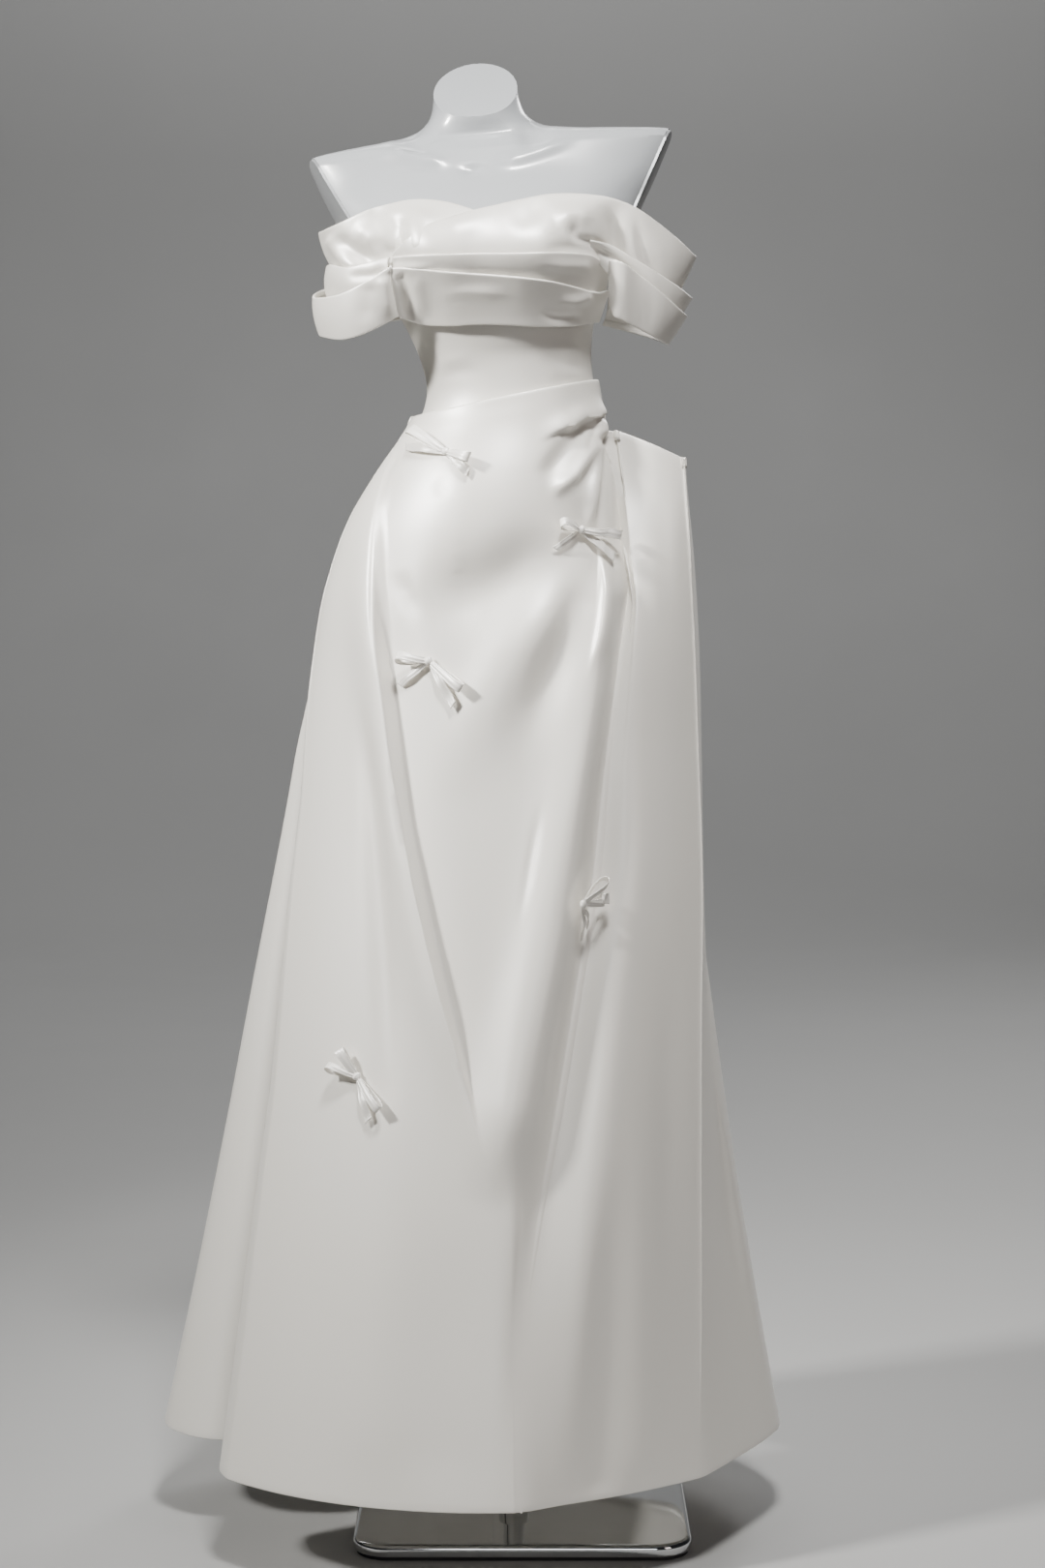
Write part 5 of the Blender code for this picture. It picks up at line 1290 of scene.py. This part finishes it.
# Strips run anticlockwise seen from above, and some start or end out of sight under a neighbour.
# The creases of a strip's front and back are given as x and height. An open end is rolled
collarStrips = {
    "wrap_left": {
        "stations": [
            free(-150, 88, 1505, -148, 90, 1445, 4),
            free(-192, 82, 1500, -180, 82, 1440, 6),
            free(-222, 46, 1493, -203, 46, 1438, 6),
            free(-230, -5, 1487, -208, -5, 1438, 4),
            free(-222, -50, 1485, -205, -46, 1440, 0),
            free(-201, -78, 1491, -190, -76, 1436, 2),
            free(-172, -89, 1503, -165, -90, 1438, 4),
            onFront(-146, 1510.5, -140, 1445, 10.2, 7.2),
            onFront(-120, 1514.5, -116, 1439, 9.7, 6.7),
            onFront(-90, 1512, -88, 1438, 8.7, 6.7),
            onFront(-62, 1504, -60, 1437, 7.7, 6.7),
            onFront(-30, 1490, -30, 1437, 6.7, 6.7),
            onFront(0, 1474, 0, 1437, 6.7, 6.7),
        ],
        "front": [
            ridge(4.2, 15, 0.3, 0.25, (-107.8, 1508), (-114.8, 1476.3), (-112.1, 1448)),
            valley(5.2, 11, 0.3, 0.2, (-137.1, 1503), (-138.6, 1476.3), (-137.2, 1448)),
            ridge(4.5, 6.5, 0.15, 0.3, (-221.5, 1479.3), (-206.1, 1459), (-189.2, 1445),
                (-170, 1440)),
            valley(4.5, 7.5, 0.25, 0.4, (-208, 1481), (-193, 1464), (-171.8, 1452), (-150, 1449)),
            ridge(3, 10, 0.4, 0.4, (-190, 1487), (-172, 1476), (-158, 1464)),
            valley(2.8, 5, 0.15, 0.6, (-141.9, 1445), (-151, 1460), (-156, 1475)),
        ],
        "back": [
            valley(2.8, 8, 0.2, 0.5, (-150, 1495), (-175, 1472), (-205, 1455)),
        ],
    },
    "wrap_right": {
        "stations": [
            onFront(-143, 1454, -143, 1444, 11.3, 10.3),
            onFront(-124, 1470, -122, 1440, 11.8, 10.3),
            onFront(-103, 1484, -104, 1438, 11.8, 10.3),
            onFront(-76, 1493, -78, 1438, 11.6, 10.3),
            onFront(-50, 1501, -52, 1438, 11.6, 10.3),
            onFront(-26, 1507, -28, 1438, 11.6, 10.3),
            onFront(0, 1513.5, 0, 1438, 11.8, 10.3),
            onFront(26, 1519, 24, 1438, 12.3, 10.3),
            onFront(52, 1521, 48, 1440, 12.8, 10.3),
            onFront(78, 1520, 72, 1442, 14.3, 10.8),
            free(102, -83, 1516, 92, -74, 1446, 3),
            free(126, -78, 1507, 112, -78, 1444, 5),
            free(150, -68, 1492, 135, -72, 1434, 4),
            free(174, -52, 1475, 158, -58, 1424, 3),
            free(193, -22, 1461, 174, -30, 1420, 1),
            free(194, 10, 1464, 176, 8, 1424, 1),
            free(172, 56, 1482, 156, 52, 1432, 4),
            free(136, 82, 1500, 126, 82, 1442, 4),
            free(100, 94, 1508, 94, 94, 1446, 3),
        ],
        "front": [
            ridge(4.2, 9.5, 0.35, 0.35, (34, 1486.5), (50, 1494.5), (63, 1496.5), (82, 1490)),
            valley(4.5, 5, 0.2, 0.35, (54.5, 1488), (56.2, 1480), (62, 1471.5), (80.6, 1467.2),
                (98, 1460)),
            valley(2.8, 8, 0.4, 0.15, (92, 1516), (98.5, 1484.5), (105, 1430)),
            ridge(2.8, 8, 0.3, 0.05, (109.5, 1510), (113.4, 1483.8), (123, 1456), (131, 1420)),
            valley(2.6, 5.5, 0.4, 0.1, (121.7, 1506), (130.2, 1475.5), (138.8, 1436), (145, 1410)),
            ridge(1.8, 12, 0.4, 0.05, (142, 1490), (151, 1468), (166, 1405)),
            valley(2.4, 6, 0.3, 0.5, (95, 1456), (66.7, 1460), (38.7, 1459), (15, 1457)),
            ridge(2.2, 5, 0.2, 0.6, (95, 1449), (61.1, 1451.4), (25, 1450)),
            valley(2.2, 12, 0.4, 0.4, (30, 1512), (10, 1498), (-20, 1485)),
            ridge(2.4, 12, 0.4, 0.5, (-100, 1480), (-65, 1483), (-30, 1493)),
        ],
        "back": [
            valley(2.6, 7, 0.2, 0.5, (98, 1500), (120, 1476), (155, 1450)),
            ridge(2.2, 8, 0.2, 0.5, (100, 1485), (125, 1462), (150, 1442)),
        ],
    },
    "left_sleeve_middle": {
        "stations": [
            free(-150, 95, 1456, -148, 96, 1425, 2),
            free(-184, 88, 1452, -182, 87, 1420, 3),
            free(-214, 50, 1448, -212, 49, 1412, 4),
            free(-221, -6, 1446, -218, -6, 1408, 4),
            free(-216, -50, 1447, -211, -48, 1408, 3),
            free(-195, -83, 1441, -190, -81, 1410, 3),
            free(-168, -97, 1446, -165, -96, 1420, 3),
            free(-147, -104, 1450, -147, -103, 1430, 2),
        ],
        "front": [
            valley(2.8, 6, 0.2, 0.4, (-148, 1438), (-170, 1432), (-200, 1433)),
        ],
    },
    "left_sleeve_lower": {
        "stations": [
            free(-148, 103, 1441, -138, 98, 1399, 3),
            free(-190, 96, 1437, -184, 90, 1392, 4),
            free(-226, 56, 1429, -220, 50, 1383, 4),
            free(-236, -6, 1418, -229, -8, 1374, 3),
            free(-231, -50, 1410, -224, -46, 1369, 2),
            free(-204, -86, 1411, -200, -78, 1364, 2),
            free(-174, -103, 1423, -172, -92, 1371, 3),
            free(-146, -113, 1439, -137, -92, 1389, 3),
        ],
        "front": [
            valley(4.2, 5.5, 0.1, 0.3, (-142.9, 1437), (-138.4, 1412.6), (-132.8, 1383)),
            ridge(3.5, 7.5, 0.2, 0.4, (-154, 1432), (-151, 1407.1), (-146, 1382)),
            valley(2.6, 10, 0.25, 0.4, (-170, 1425), (-172, 1400), (-172, 1375)),
        ],
        "back": [
            valley(3, 9, 0.2, 0.4, (-156, 1432), (-168, 1408), (-176, 1385)),
        ],
        "open": "right",
    },
    "bust_pleat": {
        "stations": [
            onFront(-143, 1450, -142, 1434, 14, 13.5),
            onFront(-115, 1450, -114, 1428, 14.5, 13.2),
            onFront(-80, 1450, -80, 1424, 14.5, 13),
            onFront(-45, 1451, -45, 1421, 14.5, 13),
            onFront(-10, 1451, -10, 1418, 14.5, 13),
            onFront(22, 1452, 22, 1415, 14.5, 13),
            onFront(50, 1453, 48, 1411, 14.5, 13),
            onFront(74, 1453, 70, 1408, 15, 13),
            onFront(86, 1449, 83, 1405, 13.5, 12),
            onFront(96, 1445, 92, 1405, 11.5, 10.5),
        ],
        "front": [
            ridge(3, 4.5, 0.1, 0.6, (-143, 1442), (-133, 1440), (-117.2, 1438.5), (-90, 1438)),
            valley(1.6, 4, 0.3, 0.5, (-70, 1433), (-20, 1430), (40, 1426)),
            ridge(2.4, 6, 0.5, 0.2, (10, 1440), (45, 1440), (80, 1442)),
        ],
    },
    "bust_band": {
        "stations": [
            free(-156, -103, 1433, -149, -84, 1390, 0),
            free(-143, -111, 1438, -135, -90.5, 1387, 1),
            onFront(-115, 1435.5, -110, 1380, 17.7, 14.2),
            onFront(-83, 1431.5, -80, 1377.5, 17.7, 13.7),
            onFront(-55, 1429.5, -52, 1378.5, 17.7, 13.2),
            onFront(-25, 1427.5, -25, 1378, 17.7, 13.2),
            onFront(5, 1425, 4, 1376.5, 17.7, 13.2),
            onFront(34, 1422, 30, 1376.5, 17.7, 13.2),
            onFront(60, 1417.5, 52, 1378, 17.7, 12.7),
            onFront(76, 1415, 68, 1381, 17.2, 12.2),
            onFront(86, 1415, 78, 1384, 15, 11.5),
            onFront(97, 1420, 86, 1386, 11, 10.5),
        ],
        "front": [
            valley(4.5, 6, 0.15, 0.3, (-137, 1434), (-127.2, 1410), (-123.1, 1380)),
            ridge(2.5, 8, 0.25, 0.4, (-120, 1430), (-113, 1410), (-109, 1385)),
            ridge(2, 6, 0.4, 0.4, (-100, 1408), (-60, 1411), (-10, 1408)),
            valley(2.6, 5, 0.4, 0.2, (15, 1390), (40, 1385), (70, 1388)),
            ridge(3, 6, 0.5, 0.2, (35, 1403), (60, 1404), (80, 1412)),
        ],
    },
    "right_sleeve_middle": {
        "stations": [
            onFront(74, 1469, 74, 1458, 8.5, 8),
            onFront(84, 1468, 84, 1448, 13.5, 12.5),
            free(99, -91, 1464, 97, -87, 1434, 2),
            free(121, -88, 1452, 117, -84, 1422, 2),
            free(149, -78, 1436, 142, -76, 1408, 2),
            free(172, -60, 1423, 163, -60, 1398, 1),
            free(188, -30, 1414, 176, -32, 1393, 0),
            free(190, 10, 1416, 178, 8, 1396, 0),
            free(168, 58, 1428, 160, 56, 1404, 2),
            free(134, 88, 1440, 130, 88, 1416, 2),
            free(100, 101, 1450, 98, 101, 1426, 2),
        ],
        "front": [
            valley(2.4, 4.5, 0.15, 0.5, (75, 1464), (105, 1448), (145, 1424)),
            ridge(2.2, 4.5, 0.15, 0.6, (62, 1476), (90, 1466), (120, 1450)),
        ],
    },
    "right_sleeve_lower": {
        "stations": [
            free(97, -95, 1448, 98, -80, 1399, -1),
            free(104, -101.5, 1447, 103, -86.5, 1389, 2),
            free(115, -100.5, 1442, 111, -85.5, 1386, 3),
            free(135, -88, 1428, 127, -80, 1377, 3),
            free(160, -70, 1409, 147, -68, 1367, 2),
            free(182, -34, 1394, 162, -36, 1362, 0),
            free(184, 10, 1396, 165, 6, 1364, 0),
            free(164, 62, 1410, 150, 58, 1374, 2),
            free(132, 94, 1424, 124, 88, 1384, 3),
            free(100, 106, 1434, 94, 98, 1392, 3),
        ],
        "front": [
            ridge(2.4, 10, 0.05, 0.1, (114, 1460), (111.5, 1410), (112, 1360)),
            valley(2.2, 10, 0.05, 0.1, (124, 1460), (134.3, 1400), (140, 1345)),
            ridge(1.4, 12, 0.1, 0.1, (143, 1450), (154, 1392), (160, 1335)),
        ],
        "back": [
            valley(3, 8, 0.2, 0.4, (106, 1428), (118, 1408), (128, 1388)),
        ],
        "open": "left",
    },
    "collar_back_upper": {
        "stations": [
            onBack(98, 1507, 90, 1442, 9.5, 8.5),
            onBack(70, 1503, 66, 1438, 10, 8),
            onBack(30, 1500, 28, 1436, 10, 8),
            onBack(-15, 1500, -15, 1436, 10, 8),
            onBack(-60, 1501, -60, 1436, 10, 8),
            onBack(-105, 1503, -102, 1438, 10, 8),
            onBack(-145, 1505, -140, 1442, 9.5, 8),
        ],
        "back": [
            valley(2.4, 7, 0.2, 0.6, (95, 1478), (60, 1470), (20, 1466)),
            ridge(2, 6, 0.2, 0.6, (-142, 1482), (-105, 1472), (-60, 1470)),
            valley(2.2, 6, 0.2, 0.6, (-142, 1465), (-115, 1456), (-80, 1454)),
        ],
    },
    "collar_back_middle": {
        "stations": [
            onBack(94, 1449, 84, 1424, 16, 14.5),
            onBack(66, 1446, 62, 1420, 16, 14),
            onBack(28, 1445, 28, 1416, 15.5, 13),
            onBack(-15, 1445, -15, 1414, 15.5, 13),
            onBack(-60, 1446, -60, 1416, 15.5, 13),
            onBack(-104, 1450, -102, 1420, 16, 14),
            onBack(-144, 1456, -140, 1426, 16.5, 15),
        ],
        "back": [
            ridge(1.6, 5, 0.2, 0.6, (88, 1436), (50, 1432), (0, 1430)),
        ],
    },
    "collar_back_lower": {
        "stations": [
            onBack(88, 1432, 74, 1392, 20, 18),
            onBack(62, 1428, 54, 1386, 19.5, 16),
            onBack(26, 1424, 22, 1382, 18.5, 15),
            onBack(-15, 1422, -15, 1380, 18.5, 15),
            onBack(-60, 1424, -58, 1382, 18.5, 15),
            onBack(-102, 1429, -96, 1386, 19.5, 16),
            onBack(-140, 1436, -128, 1391, 20.5, 18),
        ],
        "back": [
            valley(2.2, 6, 0.2, 0.6, (80, 1415), (45, 1408), (0, 1405)),
            valley(2, 6, 0.2, 0.6, (-132, 1415), (-95, 1410), (-50, 1408)),
        ],
    },
}

collarMiddle = (-0.037, 0.0, 0.0)


# points of one section of a strip, from its bottom to its top
def sectionPoints(section, rows):
    up = np.linspace(0, 1, rows)
    if isinstance(section, Body):
        x = section.bottomX + (section.topX - section.bottomX) * up
        height = section.bottomHeight + (section.topHeight - section.bottomHeight) * up
        lift = section.bottomLift + (section.topLift - section.bottomLift) * up
        return bodyPoint(x, height, lift, section.back)
    top, bottom = np.array(section[:3]), np.array(section[3:6])
    outward = (top + bottom) / 2 - np.array(collarMiddle)
    outward[2] = 0
    bulge = (section.puff * 4 * up * (1 - up))[:, None]
    return bottom + (top - bottom) * up[:, None] + unit(outward) * bulge


# a strip through its sections, which run anticlockwise seen from above
def stripPoints(sections, rows, steps):
    stations = np.array([sectionPoints(section, rows) for section in sections])
    return spline(stations, [steps] * (len(sections) - 1))


# The collar's strips

collarLook = {
    "wall": 0.0012,
    "shown": 0.0009,
    "rows": 30,
    "steps": 14,
    "topRoll": 0.0014,
    "bottomRoll": 0.0013,
    "endRoll": 0.0026,
    "inside": 0.007,
    "foldsFacing": (0.1, 0.5),
}


def makeCollar(satin):
    look = collarLook
    for name, strip in collarStrips.items():
        points = stripPoints(strip["stations"], look["rows"], look["steps"])
        points = moved(points, np.full(points.shape[:2], look["wall"]))
        facing = -surfaceNormals(points)[..., 1]
        rise = 0
        for side, seen in (("front", facing), ("back", -facing)):
            folds = strip.get(side, [])
            rise = rise + foldSum(points, folds) * smoothStep(*look["foldsFacing"], seen)
        points = moved(points, rise)
        if "open" in strip:
            points = rollEdge(points, strip["open"], look["endRoll"], look["inside"])
        points = rollEdge(points, "top", look["topRoll"], look["inside"])
        points = rollEdge(points, "bottom", look["bottomRoll"], look["inside"])
        addCloth(name, points, look["shown"], satin)


# The bows

bowLook = {
    "pinch": 0.0042,
    "wall": 0.0006,
    "gape": 0.0046,
    "pleat": 0.0007,
    "pleats": 1.5,
    "rootLift": 0.0010,
    "loopFlare": 0.6,
    "tailFlare": 2.2,
    "tailArch": 0.0020,
    "tailWave": 0.0007,
    "tailWaves": 11,
    "slant": 0.45,
    "knot": (0.0046, 0.0054, 0.0036),
    "knotLift": 0.0016,
    "knotCrease": 0.09,
    "knotTaper": 0.2,
    "steps": 30,
    "across": 11,
}
# A ribbon: which way it points, seen from the front, its length and width, how far a loop is
# turned on its edge and how far its end stands off the cloth
Ribbon = namedtuple("Ribbon", "kind angle length width turn stand")
# The knot's place on the draped front, how far it stands off it and how it is tilted
Bow = namedtuple("Bow", "name x height lift tilt ribbons")
bows = [
    Bow("bow_1", -0.083, 1.236, 0.0045, -28.0, [
        Ribbon("loop", 150, 0.040, 0.0130, 14, 0.0105),
        Ribbon("tail", 172, 0.047, 0.0095, 0, 0.0060),
        Ribbon("loop", -22, 0.031, 0.0120, 16, 0.0100),
        Ribbon("tail", -44, 0.036, 0.0100, 0, 0.0070),
    ]),
    Bow("bow_2", 0.062, 1.151, 0.0050, -24.0, [
        Ribbon("loop", 166, 0.028, 0.0100, 30, 0.0080),
        Ribbon("tail", 218, 0.036, 0.0070, 0, 0.0045),
        Ribbon("loop", -12, 0.038, 0.0105, 16, 0.0090),
        Ribbon("tail", -42, 0.049, 0.0100, 0, 0.0080),
    ]),
    Bow("bow_3", -0.102, 1.007, 0.0045, -34.0, [
        Ribbon("loop", 176, 0.031, 0.0110, 38, 0.0085),
        Ribbon("tail", 220, 0.044, 0.0075, 0, 0.0050),
        Ribbon("loop", -38, 0.051, 0.0110, 16, 0.0095),
        Ribbon("tail", -60, 0.058, 0.0090, 0, 0.0070),
    ]),
    Bow("bow_4", 0.056, 0.744, 0.0110, 20.0, [
        Ribbon("loop", 64, 0.030, 0.0085, 30, 0.0120),
        Ribbon("loop", 2, 0.024, 0.0120, 10, 0.0130),
        Ribbon("tail", -66, 0.033, 0.0065, 0, 0.0060),
        Ribbon("tail", -80, 0.042, 0.0065, 0, 0.0040),
    ]),
    Bow("bow_5", -0.179, 0.554, 0.0045, -52.0, [
        Ribbon("loop", 120, 0.031, 0.0115, 12, 0.0095),
        Ribbon("loop", 166, 0.030, 0.0085, 40, 0.0080),
        Ribbon("loop", -50, 0.045, 0.0105, 16, 0.0090),
        Ribbon("tail", -74, 0.050, 0.0090, 0, 0.0070),
    ]),
]


# a surface's faces, for rays to meet
def makeTree(points):
    columns, rows = points.shape[:2]
    index = np.arange(columns * rows).reshape(columns, rows)
    faces = np.stack([index[:-1, :-1], index[1:, :-1], index[1:, 1:], index[:-1, 1:]], -1)
    return BVHTree.FromPolygons(points.reshape(-1, 3).tolist(), faces.reshape(-1, 4).tolist())


# places on the dress as met from the front, and the directions away from it
def onDress(trees, x, height):
    places = []
    for stepX, stepHeight in ((0, 0), (0.004, 0), (0, 0.004)):
        met = []
        for placeX, placeHeight in zip(x + stepX, height + stepHeight):
            start = Vector((placeX, -1, placeHeight))
            hits = [tree.ray_cast(start, Vector((0, 1, 0)))[0] for tree in trees]
            met.append(min((hit for hit in hits if hit), key=lambda hit: hit.y))
        places.append(np.array(met))
    return places[0], unit(np.cross(places[1] - places[0], places[2] - places[0]))


def makeRibbon(name, bow, ribbon, trees, satin):
    look = bowLook
    share = np.linspace(0, 1, look["steps"])
    loop = ribbon.kind == "loop"
    swing = np.sin(math.pi * share) if loop else share
    angle = math.radians(ribbon.angle)
    gone = ribbon.length * swing
    x, height = bow.x + math.cos(angle) * gone, bow.height + math.sin(angle) * gone
    base, away = onDress(trees, x, height)
    away = unit(away * 0.5 + away[0] * 0.5)
    out = unit(base[np.argmax(swing)] - base[0])
    flatSide = unit(np.cross(away, out))
    turn = math.radians(ribbon.turn) * (swing if loop else 0 * share)
    side = flatSide * np.cos(turn)[:, None] + away * np.sin(turn)[:, None]
    across = away * np.cos(turn)[:, None] - flatSide * np.sin(turn)[:, None]
    if loop:
        lift = bow.lift + look["rootLift"] + ribbon.stand * swing
        lift = lift + ribbon.width * 0.5 * np.sin(turn)
        gape = look["gape"] * np.sin(math.tau * share) * (1 + 0.8 * np.sin(turn))
    else:
        lift = bow.lift * (1 - share) + ribbon.stand * share
        lift = lift + look["tailArch"] * np.sin(math.pi * share) ** 2
        gape = look["tailWave"] * np.sin(share * look["tailWaves"] + ribbon.angle)
    middle = base + away * lift[:, None] + across * gape[:, None]
    flare = swing ** look["loopFlare"] if loop else np.minimum(1, share * look["tailFlare"])
    width = look["pinch"] + (ribbon.width - look["pinch"]) * flare
    cells = np.linspace(-0.5, 0.5, look["across"])
    pleat = look["pleat"] * (1 - 0.75 * flare)[:, None] * np.cos(cells * math.tau * look["pleats"])
    points = middle[:, None] + side[:, None] * (width[:, None] * cells)[..., None]
    points = points + across[:, None] * pleat[..., None]
    if not loop:
        slant = look["slant"] * ribbon.width * (cells + 0.5) * share[:, None] ** 6
        points = points - out * slant[..., None]
    addCloth(name, points, look["wall"], satin, bow.name)


def makeKnot(bow, trees, satin):
    look = bowLook
    base, away = onDress(trees, np.array([bow.x]), np.array([bow.height]))
    away = Vector(away[0])
    level = Vector((math.cos(math.radians(bow.tilt)), 0, math.sin(math.radians(bow.tilt))))
    level = (level - away * level.dot(away)).normalized()
    mesh = bmesh.new()
    bmesh.ops.create_uvsphere(mesh, u_segments=32, v_segments=20, radius=1)
    for vert in mesh.verts:
        crease = 1 - look["knotCrease"] * abs(math.sin(3.2 * vert.co.x + 1.2 * vert.co.y))
        narrow = 1 - look["knotTaper"] * vert.co.y**2
        vert.co = Vector((vert.co.x * narrow, vert.co.y, vert.co.z)) * crease
    bmesh.ops.scale(mesh, verts=mesh.verts[:], vec=look["knot"])
    turned = Matrix((level, away.cross(level), away)).transposed().to_4x4()
    place = Matrix.Translation(Vector(base[0]) + away * (bow.lift + look["knotLift"]))
    bmesh.ops.transform(mesh, verts=mesh.verts[:], matrix=place @ turned)
    standFor(addMesh(bow.name, mesh, satin), bow.name)


def makeBow(bow, trees, satin):
    makeKnot(bow, trees, satin)
    for number, ribbon in enumerate(bow.ribbons, 1):
        makeRibbon(f"{bow.name}_ribbon_{number}", bow, ribbon, trees, satin)


# Each sheet's cloth before it was draped: its widest and longest, its area, how it is held
# and what it rests on
Cut = namedtuple("Cut", "width length area held restsOn")
bodiceBacks = ["bodice_back_left", "bodice_back_right"]
cuts = {
    "bodice_front": Cut(0.470, 0.237, 0.0640, "stretched", ["form_torso"]),
    "bodice_back_left": Cut(0.209, 0.220, 0.0290, "stretched", ["form_torso"]),
    "bodice_back_right": Cut(0.215, 0.215, 0.0290, "stretched", ["form_torso"]),
    "wrap_left": Cut(0.451, 0.117, 0.0368, "draped", ["bodice_front"]),
    "wrap_right": Cut(0.579, 0.117, 0.0465, "draped", ["bodice_front"]),
    "bust_pleat": Cut(0.295, 0.074, 0.0168, "draped", ["bodice_front"]),
    "bust_band": Cut(0.312, 0.094, 0.0218, "draped", ["bodice_front"]),
    "left_sleeve_middle": Cut(0.286, 0.063, 0.0158, "draped", ["bodice_front"]),
    "left_sleeve_lower": Cut(0.345, 0.081, 0.0226, "draped", ["bodice_front"]),
    "right_sleeve_middle": Cut(0.336, 0.055, 0.0150, "draped", ["bodice_front"]),
    "right_sleeve_lower": Cut(0.339, 0.083, 0.0198, "draped", ["bodice_front"]),
    "collar_back_upper": Cut(0.254, 0.095, 0.0224, "draped", bodiceBacks),
    "collar_back_middle": Cut(0.258, 0.056, 0.0130, "draped", bodiceBacks),
    "collar_back_lower": Cut(0.248, 0.072, 0.0152, "draped", bodiceBacks),
    "skirt_front": Cut(0.483, 1.316, 0.5590, "gathered", ["form_torso"]),
    "side_panel": Cut(0.530, 1.237, 0.4160, "hung", ["form_torso"]),
    "skirt_back_left": Cut(0.700, 1.250, 0.5540, "hung", ["form_torso"]),
    "skirt_back_right": Cut(0.497, 1.277, 0.4340, "hung", ["form_torso"]),
}


def declareCuts():
    tied = [obj for bow in bows for obj in made[bow.name]]
    for name, cut in cuts.items():
        made[name][0]


def main():
    makeCamera(cameraLook)
    makeLights()
    makeStage(stageLook, makeFloorPaint("floor_paint", floorLook))
    satin = makeSatin("ivory_satin", satinLook)
    # the ribbons' satin, painted lighter than the dress's satin as a painted highlight
    paintedLighterRibbonSatin = makeSatin("ribbon_satin_painted_lighter", paintedLighterRibbonLook)
    gloss = makeGloss("white_gloss", glossLook)
    capPaint = makeCapPaint("grey_cap", capLook)
    chrome = makeChrome("chrome", chromeLook)
    rubber = makeRubber("black_rubber", rubberLook)
    print("camera, lights and finishes made")
    makeStand(chrome, rubber)
    print("stand made")
    makeTorso(gloss, capPaint)
    print("form made")
    makeBodice(satin)
    print("bodice made")
    front, high = frontPoints()
    levels = np.linspace(hemHeight, panelLook["topSeam"], 300)
    front, rings = joinSoftly(front, levels)
    trees = [makeTree(makePanel(levels, rings, satin)), makeTree(makeFront(front, high, satin))]
    makeBacks(satin)
    print("skirt made")
    makeCollar(satin)
    print("collar made")
    for bow in bows:
        makeBow(bow, trees, paintedLighterRibbonSatin)
    print("bows made")
    declareCuts()


main()
